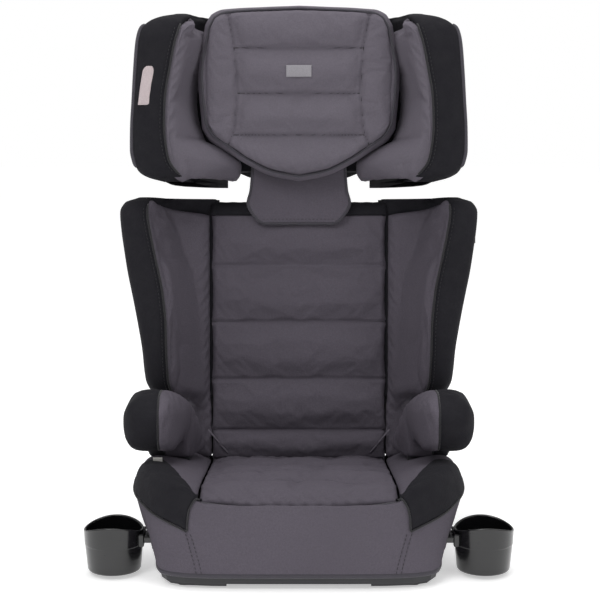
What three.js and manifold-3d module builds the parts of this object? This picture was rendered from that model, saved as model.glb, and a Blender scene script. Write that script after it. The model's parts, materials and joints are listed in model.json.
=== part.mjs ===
// A high-back child booster seat: base with armrests and cup holders, a reclining backrest and a
// headrest that slides up the backrest in notches. Millimetres, +Z up, the seat faces -Y, and the
// origin is on the floor under the middle of the seat. "left" is the -X side.
import * as THREE from 'three';
import { mergeVertices } from 'three/addons/utils/BufferGeometryUtils.js';
import Module from 'manifold-3d';

const wasm = await Module();
wasm.setup();

// Driving dimensions ---------------------------------------------------------------------------
const GAP = 0.4; // clearance kept between pieces that touch
const SHELL = 3; // wall of the large plastic mouldings

const HINGE_Y = 140; // the rod that the backrest hooks onto
const HINGE_Z = 62;
const LEAN = THREE.MathUtils.degToRad(7); // how far the back leans when it is most upright

const SEAT_FRONT = -215;
const SEAT_REAR = 175;
const DECK_Z = 44; // low deck behind the cushion, which carries the hinge rod
const CUSHION_REAR = 117; // the soft seat ends here, in front of the backrest
const HEM_Z = 18; // lower edge of the seat cover
const SHELL_FOOT_Z = 7;
const SIDE_RISE = 12; // side bolsters stand this much above the middle of the seat
const COVER_SKIN = 6;
const WING_GAP = 2.4; // between a wing's moulding and the curved padding on each side of it
const FOAM_DEPTH = 31; // from the middle of the seat's surface down to the shell
const PAD_HALF = 121; // half width of the channelled panels of seat and back
const PAD_DEPTH = 14;
const PAD_GAP = 1.5; // under the seat pad

const BACK_FACE = 60; // front of the back pad, measured forward of the hinge plane
const BACK_LOW = 22;
const BACK_TOP = 377;
const PLATE_BACK = 10.5; // rear face of the back shell's plate
const NOTCH_PITCH = 20;
const NOTCHES = 7;
const LATCH_W = 240; // height of the latch bolt with the headrest in its lowest notch
const LEVER_ARM = 16; // from the lever's pin down to the bolt

const CUP_X = 231;
const CUP_Y = -140;
const CUP_R = 37.5;
const CUP_WALL = 2.2;
const CUP_FLOOR_Z = 5;

const GREY = 0x54515c;
const PAD_GREY = 0x68666f;
const BLACK_CLOTH = 0x25242a;
const BLACK_PLASTIC = 0x2b2b2e;

// Geometry helpers -----------------------------------------------------------------------------
function shapeOf(points) {
  return new THREE.Shape(points.map(([a, b]) => new THREE.Vector2(a, b)));
}

function extruded(points, depth) {
  return new THREE.ExtrudeGeometry(shapeOf(points), { depth, bevelEnabled: false });
}

// An (x, y) outline standing from z = low to z = high.
function alongZ(points, low, high) {
  return extruded(points, high - low).translate(0, 0, low);
}

// A (y, z) outline running from x = low to x = high.
function alongX(points, low, high) {
  const turn = new THREE.Matrix4().set(0, 0, 1, low, 1, 0, 0, 0, 0, 1, 0, 0, 0, 0, 0, 1);
  return extruded(points, high - low).applyMatrix4(turn);
}

// An (x, z) outline running from y = low to y = high.
function alongY(points, low, high) {
  return extruded(points, high - low).rotateX(Math.PI / 2).translate(0, high, 0);
}

function box(x0, x1, y0, y1, z0, z1) {
  const made = new THREE.BoxGeometry(x1 - x0, y1 - y0, z1 - z0);
  return made.translate((x0 + x1) / 2, (y0 + y1) / 2, (z0 + z1) / 2);
}

function discPoints(radius, sides, cx = 0, cy = 0) {
  return Array.from({ length: sides }, (_, i) => {
    const turn = (2 * Math.PI * (i + 0.5)) / sides;
    return [cx + radius * Math.cos(turn), cy + radius * Math.sin(turn)];
  });
}

function roundedRectangle(x0, x1, y0, y1, radius, steps = 3) {
  const corners = [[x1 - radius, y1 - radius], [x0 + radius, y1 - radius], [x0 + radius, y0 + radius],
    [x1 - radius, y0 + radius]];
  return corners.flatMap(([cx, cy], corner) => Array.from({ length: steps + 1 }, (_, i) => {
    const turn = (Math.PI / 2) * (corner + i / steps);
    return [cx + radius * Math.cos(turn), cy + radius * Math.sin(turn)];
  }));
}

function areaOf(points) {
  return THREE.ShapeUtils.area(points.map(([a, b]) => ({ x: a, y: b })));
}

// Moves an open path sideways: to its left as it runs where distance is positive.
function offsetPath(path, distance) {
  return path.map((point, i) => {
    const before = path[Math.max(i - 1, 0)];
    const after = path[Math.min(i + 1, path.length - 1)];
    const along = new THREE.Vector2(after[0] - before[0], after[1] - before[1]).normalize();
    return [point[0] - along.y * distance, point[1] + along.x * distance];
  });
}

// Moves a closed outline inwards.
function insetLoop(points, distance) {
  const side = Math.sign(areaOf(points));
  return points.map((point, i) => {
    const before = points[(i + points.length - 1) % points.length];
    const after = points[(i + 1) % points.length];
    const along = new THREE.Vector2(after[0] - before[0], after[1] - before[1]).normalize();
    return [point[0] - side * along.y * distance, point[1] + side * along.x * distance];
  });
}

// A closed body through level outlines, given as [height, outline] with equal point counts.
function loft(levels) {
  const count = levels[0][1].length;
  const turned = levels.map(([z, points]) => [z, areaOf(points) > 0 ? points : [...points].reverse()]);
  const positions = turned.flatMap(([z, points]) => points.flatMap(([x, y]) => [x, y, z]));
  const faces = [];
  for (let level = 0; level + 1 < levels.length; level += 1) {
    for (let i = 0; i < count; i += 1) {
      const low = level * count + i;
      const lowNext = level * count + ((i + 1) % count);
      faces.push(low, lowNext, lowNext + count, low, lowNext + count, low + count);
    }
  }
  const last = (levels.length - 1) * count;
  const capOf = (points) => {
    const flat = points.map(([a, b]) => new THREE.Vector2(a, b));
    return THREE.ShapeUtils.triangulateShape(flat, []);
  };
  capOf(turned[0][1]).forEach(([a, b, c]) => faces.push(a, c, b));
  capOf(turned[levels.length - 1][1]).forEach(([a, b, c]) => faces.push(last + a, last + b, last + c));
  const geometry = new THREE.BufferGeometry();
  geometry.setAttribute('position', new THREE.Float32BufferAttribute(positions, 3));
  geometry.setIndex(faces);
  return geometry;
}

function solid(geometry) {
  const plain = geometry.clone();
  plain.deleteAttribute('normal');
  plain.deleteAttribute('uv');
  const merged = mergeVertices(plain, 1e-4);
  const vertProperties = new Float32Array(merged.attributes.position.array);
  const triVerts = new Uint32Array(merged.index.array);
  return new wasm.Manifold(new wasm.Mesh({ numProp: 3, vertProperties, triVerts }));
}

function geometryOf(body) {
  const mesh = body.getMesh();
  const geometry = new THREE.BufferGeometry();
  geometry.setAttribute('position', new THREE.BufferAttribute(mesh.vertProperties, 3));
  geometry.setIndex(new THREE.BufferAttribute(mesh.triVerts, 1));
  return geometry;
}

function join(...geometries) {
  return geometryOf(geometries.map(solid).reduce((a, b) => a.add(b)));
}

function cut(geometry, ...tools) {
  return geometryOf(tools.map(solid).reduce((a, b) => a.subtract(b), solid(geometry)));
}

function common(...geometries) {
  return geometryOf(geometries.map(solid).reduce((a, b) => a.intersect(b)));
}

// The same body on the other side of x = 0.
function mirrored(geometry) {
  const copy = geometry.index ? geometry.clone() : mergeVertices(geometry);
  const other = copy.scale(-1, 1, 1);
  const index = other.index.array;
  for (let i = 0; i < index.length; i += 3) {
    [index[i], index[i + 1]] = [index[i + 1], index[i]];
  }
  return other;
}

function mirroredOutline(half) {
  const other = half.filter(([x]) => x > 0).map(([x, y]) => [-x, y]).reverse();
  return [...half, ...other];
}

const everything = new THREE.Group();
const leaned = new THREE.Group(); // backrest and headrest: x, rearward, and w up the back
leaned.position.set(0, HINGE_Y, HINGE_Z);
leaned.rotation.x = -LEAN;
everything.add(leaned);

function add(group, name, geometry, color, roughness, metalness = 0) {
  const mesh = new THREE.Mesh(geometry, new THREE.MeshStandardMaterial({ color, roughness, metalness }));
  mesh.name = name;
  group.add(mesh);
}

// Makes the right-hand piece and its mirror image.
function addPair(group, name, geometry, color, roughness, metalness = 0) {
  add(group, `${name}_right`, geometry, color, roughness, metalness);
  add(group, `${name}_left`, mirrored(geometry), color, roughness, metalness);
}

// Seat base ------------------------------------------------------------------------------------
// Right half of the seat's plan at its widest, from the front centre to the rear centre.
const SEAT_PLAN = [[0, SEAT_FRONT], [60, -214.5], [105, -211], [140, -202], [170, -184], [192, -156],
  [204, -122], [207, -80], [207, -20], [203, 40], [196, 100], [188, 150], [174, 170], [0, SEAT_REAR]];
// The same points at the seat's foot, where its front corners are squarer.
const SEAT_FOOT = [[0, -211], [60, -211], [105, -210], [140, -206], [163, -196], [172, -180],
  [175, -150], [175, -100], [175, -20], [172, 40], [168, 100], [163, 150], [150, 168], [0, 174]];
// Height, how far from foot to full plan (0 to 1), and how far the wall is drawn in.
const SEAT_LEVELS = [[2, 0, 5], [7, 0, 2.5], [20, 0.06, 0], [47, 0.4, 0], [66, 0.68, 0], [95, 1, 0],
  [115, 1, 1.5], [131, 1, 7], [150, 1, 13]];
// The seat's surface along its middle, front to rear.
const SEAT_TOP = [[-235, 96], [-216, 97], [-208, 105], [-192, 113], [-165, 117.5], [-120, 114.5],
  [-60, 106], [20, 95], [92, 85.5], [CUSHION_REAR, 83.5]];

function seatBlock(inset) {
  return loft(SEAT_LEVELS.map(([z, share, drawnIn]) => {
    const half = SEAT_FOOT.map(([x, y], i) => [
      x + share * (SEAT_PLAN[i][0] - x),
      y + share * (SEAT_PLAN[i][1] - y),
    ]);
    return [z, insetLoop(mirroredOutline(half), inset + drawnIn)];
  }));
}

// Everything below the seat's surface moved up by rise, from z = low.
function underTop(rise, low, rear = CUSHION_REAR) {
  const top = SEAT_TOP.map(([y, z]) => [y, z + rise]);
  const lastZ = top[top.length - 1][1];
  return alongX([[-235, low], [rear, low], [rear, lastZ], ...top.slice(0, -1).reverse()], -230, 230);
}

function padSlot(half, front, rear, depth) {
  const bottom = SEAT_TOP.filter(([y]) => y > front).map(([y, z]) => [y, z - depth]);
  const shape = [[front, 105 - depth], ...bottom.slice(0, -1), [rear, 83.5 - depth], [rear, 160],
    [front, 160]];
  return alongX(shape, -half, half);
}

const shellEnvelope = (grow) => join(
  common(seatBlock(10 - grow), underTop(grow - FOAM_DEPTH, SHELL_FOOT_Z)),
  common(seatBlock(10 - grow), box(-200, 200, CUSHION_REAR - 20, 230, SHELL_FOOT_Z, DECK_Z + grow)),
);

const SOCKET = { x0: 140, y0: CUP_Y - 20, y1: CUP_Y + 20, z0: 36, z1: 56 };
const socketHole = (grow) => [1, -1].map((side) => {
  const { x0, y0, y1, z0, z1 } = SOCKET;
  const hole = box(x0 - grow, 230, y0 - grow, y1 + grow, z0 - grow, z1 + grow);
  return side > 0 ? hole : mirrored(hole);
});

const SCREW_SPOTS = [[-105, -110], [105, -110], [-105, 80], [105, 80]];
const SCREW_R = 2.2;

function baseShell() {
  const flange = common(seatBlock(1.5), box(-220, 220, -230, 230, SHELL_FOOT_Z, HEM_Z - GAP));
  const outer = join(shellEnvelope(0), flange);
  const hollow = join(
    common(seatBlock(10 + SHELL), underTop(-FOAM_DEPTH - SHELL, 0, CUSHION_REAR - SHELL)),
    common(seatBlock(10 + SHELL), box(-200, 200, CUSHION_REAR - 30, 230, 0, DECK_Z - SHELL)),
  );
  const bosses = SCREW_SPOTS.map(([x, y]) => alongZ(discPoints(6, 8, x, y), 10 + GAP, 120));
  const ribs = [-60, 60].map((x) => box(x - 1.2, x + 1.2, -203, CUSHION_REAR - 2, 12, 120));
  const holes = SCREW_SPOTS.map(([x, y]) => alongZ(discPoints(SCREW_R + 0.2, 8, x, y), 0, 26));
  const walls = join(cut(outer, hollow), common(join(...bosses, ...ribs), shellEnvelope(-1)));
  return cut(walls, ...holes, ...socketHole(GAP));
}

// Foot lobes under the pan: x range and y range of each on the right.
const LOBES = [[88, 165, -214, -150], [88, 150, 96, 158]];

function basePan() {
  const plate = common(seatBlock(10 + SHELL + 0.6), box(-220, 220, -230, 230, 6.4, 10));
  const lobes = LOBES.map(([x0, x1, y0, y1]) => common(
    seatBlock(5), alongZ(roundedRectangle(x0, x1, y0, y1, 14), 2.4, SHELL_FOOT_Z - GAP),
  ));
  const holes = SCREW_SPOTS.map(([x, y]) => alongZ(discPoints(SCREW_R + 0.2, 8, x, y), 0, 26));
  return cut(join(plate, ...lobes, ...lobes.map(mirrored)), ...holes);
}

function footPad([x0, x1, y0, y1]) {
  return alongZ(roundedRectangle(x0 + 12, x1 - 16, y0 + 24, y1 - 10, 8), 0, 2);
}

function screw(radius, headRadius, headHeight, length, sides = 8) {
  const profile = [[0, 0], [headRadius, 0], [headRadius, headHeight], [radius, headHeight],
    [radius, headHeight + length], [0, headHeight + length]];
  const geometry = new THREE.LatheGeometry(profile.map(([r, h]) => new THREE.Vector2(r, h)), sides);
  return geometry.rotateX(Math.PI / 2); // lathe axis Y becomes Z
}

function seatFoam() {
  const layer = common(seatBlock(COVER_SKIN + GAP), underTop(SIDE_RISE - COVER_SKIN - GAP, HEM_Z + 4));
  const padRoom = padSlot(PAD_HALF + 1, -201, 130, PAD_DEPTH + PAD_GAP);
  return cut(layer, shellEnvelope(GAP), padRoom, ...socketHole(GAP), ...armrestStems(GAP));
}

function seatCover() {
  const outer = common(seatBlock(0), underTop(SIDE_RISE, HEM_Z));
  const inner = common(seatBlock(COVER_SKIN), underTop(SIDE_RISE - COVER_SKIN, 0, CUSHION_REAR + 20));
  return cut(outer, inner, padSlot(PAD_HALF + 1, -201, 130, PAD_DEPTH + PAD_GAP), ...socketHole(GAP),
    ...armrestStems(GAP));
}

function seatPad() {
  const low = padSlot(PAD_HALF, -200, CUSHION_REAR, PAD_DEPTH);
  return common(low, underTop(0, 20), seatBlock(1));
}

// Armrests -------------------------------------------------------------------------------------
const ARM_SIDE = [[-22, 139.5], [-70, 139], [-90, 143], [-103, 157], [-108, 177], [-103, 197], [-88, 210],
  [-68, 215.5], [-38, 212], [-8, 200], [17, 182], [45, 153], [62, 131], [76, 116], [72, 104], [0, 112],
  [-8, 115], [-14, 134]];
const ARM_PLAN = [[225, -68], [222, -90], [211, -104], [195, -108.5], [178, -107], [166, -98], [158, -80],
  [153, -40], [146, 0], [135, 40], [125, 78], [150, 84], [196, 75], [208, 30], [220, -20]];
const ARM_FRONT = [[122, 100], [200, 100], [201, 139], [212, 146], [220, 157], [224, 169], [225, 179],
  [222.5, 192], [215, 204], [204, 212], [190, 216], [176, 214.5], [165, 209], [155, 199], [146, 186],
  [138, 169.5], [130, 146], [122, 115]];
const ARM_SKIN = 6;
const ARM_SPLIT = 178; // black cover outside this, grey panel inside it

function horn(inset) {
  return common(
    alongX(insetLoop(ARM_SIDE, inset), 100, 240),
    alongZ(insetLoop(ARM_PLAN, inset), 90, 240),
    alongY(insetLoop(ARM_FRONT, inset), -130, 100),
  );
}

const stemBlock = (grow) => box(146 - grow, 184 + grow, 8 - grow, 52 + grow, 66, 126);
const armrestStems = (grow) => [stemBlock(grow), mirrored(stemBlock(grow))];

function armrestCore() {
  const stem = cut(stemBlock(0), shellEnvelope(GAP));
  const padded = common(horn(ARM_SKIN + GAP), box(100, 240, -130, 60, 90, 240));
  return join(padded, stem);
}

function armrestSkin(x0, x1) {
  const skin = cut(horn(0), horn(ARM_SKIN - 2 * GAP), stemBlock(GAP));
  return common(skin, box(x0, x1, -130, 100, 90, 240));
}

// Cup holders ----------------------------------------------------------------------------------
const TONGUE = { x0: 148, half: 15, z0: 42, z1: 50 };
const RIM_SIDE_Z = 57; // the rim dips at the sides and rises towards the front and the back
const RIM_FRONT_RISE = 10;
const RIM_BACK_RISE = 7;

function cupSocket() {
  const sleeve = box(SOCKET.x0, 190, SOCKET.y0, SOCKET.y1, SOCKET.z0, SOCKET.z1);
  const bore = box(SOCKET.x0 + 3, 230, CUP_Y - TONGUE.half - GAP, CUP_Y + TONGUE.half + GAP,
    TONGUE.z0 - GAP, TONGUE.z1 + GAP);
  return common(cut(sleeve, bore), seatBlock(-1));
}

function cupHolder() {
  const top = RIM_SIDE_Z + RIM_FRONT_RISE + 3;
  const fillet = 5;
  const inside = CUP_R - CUP_WALL;
  const profile = [[0, CUP_FLOOR_Z], [CUP_R - fillet, CUP_FLOOR_Z], [CUP_R - 1.5, CUP_FLOOR_Z + 1.5],
    [CUP_R, CUP_FLOOR_Z + fillet], [CUP_R, top], [inside, top], [inside, CUP_FLOOR_Z + fillet],
    [inside - 3, CUP_FLOOR_Z + 3], [0, CUP_FLOOR_Z + 3]];
  const lathe = new THREE.LatheGeometry(profile.map(([r, h]) => new THREE.Vector2(r, h)), 28);
  const wall = lathe.rotateX(Math.PI / 2).translate(CUP_X, CUP_Y, 0);
  const steps = 10;
  const rim = Array.from({ length: steps + 1 }, (_, i) => {
    const across = (2 * i) / steps - 1;
    const rise = across < 0 ? RIM_FRONT_RISE : RIM_BACK_RISE;
    return [CUP_Y + across * (CUP_R + 0.5), RIM_SIDE_Z + rise * across * across];
  });
  const above = [[CUP_Y - 60, rim[0][1]], ...rim, [CUP_Y + 60, rim[steps][1]], [CUP_Y + 60, 90],
    [CUP_Y - 60, 90]];
  const cup = cut(wall, alongX(above, CUP_X - 50, CUP_X + 50));
  const bore = alongZ(discPoints(CUP_R - CUP_WALL / 2, 28, CUP_X, CUP_Y), CUP_FLOOR_Z + 10, 90);
  const arm = cut(box(191, CUP_X - 20, CUP_Y - TONGUE.half, CUP_Y + TONGUE.half, 38, 54), bore);
  const { x0, half, z0, z1 } = TONGUE;
  const tongue = cut(box(x0, CUP_X - 20, CUP_Y - half, CUP_Y + half, z0, z1), bore);
  return join(cup, arm, tongue);
}

// Hinge ----------------------------------------------------------------------------------------
const ROD_R = 5;

function hingeRod() {
  return alongX(discPoints(ROD_R, 16, HINGE_Y, HINGE_Z), -136, 136);
}

function rodBracket() {
  const outline = roundedRectangle(HINGE_Y - 14, HINGE_Y + 14, DECK_Z + GAP, HINGE_Z + 12, 5, 2);
  const block = alongX(outline, 118, 132);
  return cut(block, alongX(discPoints(ROD_R + 0.3, 16, HINGE_Y, HINGE_Z), 110, 140));
}

// The hook grips the rod from above. It is drawn about the rod's axis in the leaned frame.
function hingeHook() {
  const x0 = 72;
  const x1 = 96;
  const grip = alongX(discPoints(12, 16), x0, x1);
  const arm = box(x0, x1, -PLATE_BACK + GAP, 2, 4, 70);
  const hole = alongX(discPoints(ROD_R + 0.5, 16), x0 - 1, x1 + 1);
  const mouth = box(x0 - 1, x1 + 1, -ROD_R + 0.6, ROD_R - 0.6, -20, 0);
  return cut(join(grip, arm), hole, mouth);
}

// Wings ----------------------------------------------------------------------------------------
// Rows of a wing: height w, outermost x, x of the seam at the inner edge of the lip, and how far
// forward the lip reaches.
const SHOULDER_ROWS = [[106, 190, 166, 104], [116, 199, 169, 124], [135, 207, 173, 139],
  [175, 210.5, 174.5, 147], [205, 215, 175, 149], [250, 224, 179, 149], [300, 233, 189, 149],
  [335, 238, 196, 148], [360, 240, 199.5, 144], [373, 234, 199, 134], [380, 222, 196, 118]];
const HEAD_ROWS = [[397, 184, 142, 138], [404, 199, 151, 154], [413, 212, 160, 163], [425, 219, 168, 168],
  [440, 221.5, 171.5, 172], [470, 221, 174.5, 174], [505, 219, 173.5, 174], [545, 217, 167.5, 172],
  [580, 214.5, 161, 169], [598, 211, 156, 165], [611, 200, 152, 158], [619, 186, 148, 146],
  [624, 174, 145, 132]];
const SHOULDER = { rows: SHOULDER_ROWS, rootX: 112, rootBack: 12, faceX: 123, face: BACK_FACE - 1 };
const HEAD = { rows: HEAD_ROWS, rootX: 100, rootBack: 9, faceX: 100, face: 54 };

// The plastic wing's middle line in plan, as (x, forward).
function wingPath(wing, [, outer, , front]) {
  const bend = wing.rootBack + 14;
  const reach = (share) => bend + share * (front - 20 - bend);
  return [[wing.rootX, wing.rootBack], [wing.rootX + 16, wing.rootBack + 1], [outer - 50, bend],
    [outer - 27, reach(0.3)], [outer - 16, reach(0.65)], [outer - 13, reach(1)]];
}

const forwardToY = (points) => points.map(([x, forward]) => [x, -forward]);

function wingShell(wing, half = SHELL / 2) {
  return loft(wing.rows.map((row) => {
    const path = wingPath(wing, row);
    const ring = [...offsetPath(path, half), ...offsetPath(path, -half).reverse()];
    return [row[0], forwardToY(ring)];
  }));
}

// The lower end of the shoulder pad, beside the back pad and behind the armrest.
function hipPad() {
  const outline = [[122.6, 22], [152, 22], [154, 28], [152, 40], [144, 50], [122.6, 52]];
  const neck = [[122.6, 28], [133, 30], [133, 48], [122.6, 50]]; // joins it to the pad above
  return join(alongZ(forwardToY(outline), 44, 104), alongZ(forwardToY(neck), 90, 116));
}

function wingCover(wing) {
  return loft(wing.rows.map((row) => {
    const [w, outer, lip, front] = row;
    const path = wingPath(wing, row).slice(2);
    const inside = offsetPath(path, -SHELL / 2 - WING_GAP);
    const middle = (outer + lip) / 2;
    const low = wing.rootBack + 6;
    const span = front - low;
    const outside = [[outer - 40, low], [outer - 15, low + 0.3 * span], [outer - 3, low + 0.6 * span],
      [outer, front - 18]];
    const nose = [[outer - 4, front - 6], [middle + 6, front], [middle - 8, front - 0.5],
      [lip + 1, front - 7], [lip + 2, front - 15], [outer - 18, front - 17.5], [outer - 11, front - 17.5]];
    return [w, forwardToY([...outside, ...nose, ...inside.reverse()])];
  }));
}

function wingPad(wing) {
  return loft(wing.rows.map((row) => {
    const [w, outer, lip, front] = row;
    const path = wingPath(wing, row);
    const behind = offsetPath(path, SHELL / 2 + WING_GAP).reverse().slice(0, -1);
    const end = behind[0];
    const reach = (share) => wing.face + share * (front - wing.face);
    const face = [[wing.faceX, wing.rootBack + 5], [wing.faceX, wing.face], [wing.faceX + 16, wing.face + 6],
      [lip - 26, reach(0.3)], [lip - 12, reach(0.6)], [lip - 3, reach(0.83)], [lip - 1, front - 6],
      [lip + 1, front - 17.5]];
    return [w, forwardToY([...face, [end[0], Math.min(end[1], front - 19)], ...behind.slice(1)])];
  }));
}

// Backrest -------------------------------------------------------------------------------------
const RAIL = { x0: 31, x1: 41, lip: 27, low: 178, high: 372 };
const RACK = { half: 24, low: LATCH_W - 14, high: LATCH_W + (NOTCHES - 1) * NOTCH_PITCH + 12 };
const RAIL_SCREWS = [[-36, 190], [36, 190], [-36, 362], [36, 362]];

function backShell() {
  const plate = alongY([[-125, 22], [125, 22], [150, 60], [160, 110], [160, 340], [135, 376], [-135, 376],
    [-160, 340], [-160, 110], [-150, 60]], -PLATE_BACK - SHELL, -PLATE_BACK);
  const trimmed = common(plate, box(-124, 124, -20, 0, 0, 400));
  const ribs = [48, 96, 144, 366].map((w) => box(-110, 110, -PLATE_BACK - 1, -3, w, w + SHELL));
  const rims = [-113, 110].map((x) => box(x, x + SHELL, -PLATE_BACK - 1, -3, 30, 369));
  const wing = wingShell(SHOULDER);
  const room = box(-RAIL.x1 - GAP, RAIL.x1 + GAP, -PLATE_BACK, 20, 150, 400);
  const hookRoom = box(-97, 97, -PLATE_BACK, 20, 0, 71);
  return cut(join(trimmed, ...ribs, ...rims, wing, mirrored(wing)), room, hookRoom);
}

function backPad() {
  const side = [[-18, BACK_LOW], [-18, 356], [-52, 356], [-BACK_FACE - 2, 340], [-BACK_FACE - 3, 200],
    [-BACK_FACE - 1, 60], [-50, BACK_LOW]];
  return alongX(side, -PAD_HALF, PAD_HALF);
}

function backTopTrim() {
  return alongX([[-18, 357], [-18, BACK_TOP], [-40, BACK_TOP], [-52, 368], [-54, 357]], -PAD_HALF, PAD_HALF);
}

function heightRack() {
  const plate = box(-RACK.half, RACK.half, -PLATE_BACK + 0.3, -5, RACK.low, RACK.high);
  const slots = Array.from({ length: NOTCHES }, (_, i) => {
    const w = LATCH_W + i * NOTCH_PITCH;
    return box(-11, 11, -20, 0, w - 5, w + 5);
  });
  return cut(plate, ...slots);
}

function guideRail() {
  const post = box(RAIL.x0, RAIL.x1, -PLATE_BACK + 0.3, 3.5, RAIL.low, RAIL.high);
  const lip = box(RAIL.lip, RAIL.x0 + 1, 1.1, 3.5, RAIL.low, RAIL.high);
  const holes = RAIL_SCREWS.filter(([x]) => x > 0)
    .map(([x, w]) => alongY(discPoints(SCREW_R + 0.2, 8, x, w), -20, 20));
  return cut(join(post, lip), ...holes);
}

// Headrest -------------------------------------------------------------------------------------
const MAST = { half: 29.6, front: -4.4, back: 0.6, low: 184, high: 560 };
const MAST_SCREWS = [450, 540];
const PIVOT_W = LATCH_W + LEVER_ARM;
const PIVOT_BACK = 9;
const LUG = { x0: 17, x1: 21 };

function headrestShell() {
  const wing = wingShell(HEAD);
  const plate = alongY([[-101, 425], [-70, 412], [70, 412], [101, 425], [101, 612], [90, 624], [-90, 624],
    [-101, 612]], -HEAD.rootBack - SHELL / 2, -HEAD.rootBack + SHELL / 2);
  const holes = MAST_SCREWS.map((w) => alongY(discPoints(SCREW_R + 0.2, 8, 0, w), -20, 20));
  return cut(join(plate, wing, mirrored(wing)), ...holes);
}

function headBackPad() {
  return alongY(roundedRectangle(-98, 98, 420, 618, 16), -54, -HEAD.rootBack - SHELL / 2 - 2 * GAP);
}

// Right half of the pillow's outline as (x, w).
const PILLOW = [[0, 635.5], [55, 634], [100, 629], [117, 622], [127, 595], [134, 560], [136.5, 525],
  [132, 488], [122, 464], [104, 449], [73, 428], [39, 411], [0, 404]];

function headPillow() {
  const shape = shapeOf(insetLoop(mirroredOutline(PILLOW).reverse(), 8));
  const geometry = new THREE.ExtrudeGeometry(shape, {
    depth: 30, bevelEnabled: true, bevelThickness: 8, bevelSize: 7, bevelSegments: 2,
  });
  return geometry.rotateX(Math.PI / 2).translate(0, -80, 0);
}

const pillowRoom = box(-138, 138, -140, -71, 400, 640);

function neckFlap() {
  const half = [[0, 344], [51, 344], [71, 374], [67, 391], [64, 428], [0, 428]];
  return alongY(mirroredOutline(half), -71.4, -64.4);
}

function headrestMast() {
  const plate = box(-MAST.half, MAST.half, MAST.front, MAST.back, MAST.low, MAST.high);
  const boss = box(-24, 24, -HEAD.rootBack + SHELL / 2 + GAP, MAST.front + 1, 430, MAST.high);
  const lugShape = roundedRectangle(MAST.back - 1, PIVOT_BACK + 5, PIVOT_W - 6, PIVOT_W + 6, 4, 2);
  const lugs = [alongX(lugShape, LUG.x0, LUG.x1), alongX(lugShape, -LUG.x1, -LUG.x0)];
  const pinHole = alongX(discPoints(2.3, 10, PIVOT_BACK, PIVOT_W), -30, 30);
  const boltHole = box(-9.6, 9.6, -10, 0.7, LATCH_W - 4, LATCH_W + 4);
  const screwHoles = MAST_SCREWS.map((w) => alongY(discPoints(SCREW_R + 0.2, 8, 0, w), -20, 20));
  return cut(join(plate, boss, ...lugs), pinHole, boltHole, ...screwHoles);
}

function leverPin() {
  return alongX(discPoints(2, 10, PIVOT_BACK, PIVOT_W), -LUG.x1 - 1.5, LUG.x1 + 1.5);
}

// A torsion spring round the pin, with a short straight tail at each end.
function leverSpring() {
  const coil = 4;
  const turns = 4;
  const half = 4.2;
  const points = Array.from({ length: turns * 8 + 1 }, (_, i) => {
    const turn = (i / 8) * 2 * Math.PI;
    return new THREE.Vector3(-half + (2 * half * i) / (turns * 8), PIVOT_BACK + coil * Math.cos(turn),
      PIVOT_W + coil * Math.sin(turn));
  });
  const path = new THREE.CatmullRomCurve3(points);
  const options = { steps: turns * 8, bevelEnabled: false, extrudePath: path };
  return new THREE.ExtrudeGeometry(shapeOf(discPoints(0.7, 5)), options);
}

// The lever turns about its pin: squeezing the grip forwards draws the bolt back.
function releaseLever() {
  const half = 15.8;
  const grip = alongX([[PIVOT_BACK - 4, PIVOT_W - 3], [PIVOT_BACK + 4, PIVOT_W - 3],
    [PIVOT_BACK + 9, PIVOT_W + 22], [34, PIVOT_W + 44], [36, PIVOT_W + 74], [31, PIVOT_W + 78],
    [28, PIVOT_W + 74], [27, PIVOT_W + 46],
    [PIVOT_BACK + 2, PIVOT_W + 26]], -half, half);
  const hub = alongX(discPoints(6, 12, PIVOT_BACK, PIVOT_W), -half, half);
  const fingers = box(-half, half, PIVOT_BACK - 4.2, PIVOT_BACK + 5, LATCH_W - 5, PIVOT_W);
  const between = box(-10.6, 10.6, -10, 30, 0, PIVOT_W - 7);
  const springRoom = box(-6, 6, PIVOT_BACK - 7, PIVOT_BACK + 7, PIVOT_W - 9, PIVOT_W + 7);
  const pinRoom = alongX(discPoints(2.4, 12, PIVOT_BACK, PIVOT_W), -30, 30);
  const pinSlot = box(-30, 30, PIVOT_BACK - 2.3, PIVOT_BACK + 2.3, LATCH_W - 20, LATCH_W + 3.5);
  return cut(join(grip, hub, fingers), between, springRoom, pinRoom, pinSlot);
}

function latchBolt() {
  const shank = box(-9, 9, -9.4, PIVOT_BACK + 3, LATCH_W - 3.5, LATCH_W + 3.5);
  const crossPin = alongX(discPoints(1.5, 8, PIVOT_BACK, LATCH_W), -16.5, 16.5);
  return join(shank, crossPin);
}

// A C-shaped guide for the shoulder belt, open on its outer side.
function beltGuide() {
  const outline = [[112, 6.4], [112, -20], [117, -25], [170, -25], [175, -20], [175, -6], [169, -6],
    [169, -19], [118, -19], [118, 6.4]];
  return alongZ(forwardToY(outline), 402, 440);
}

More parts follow.
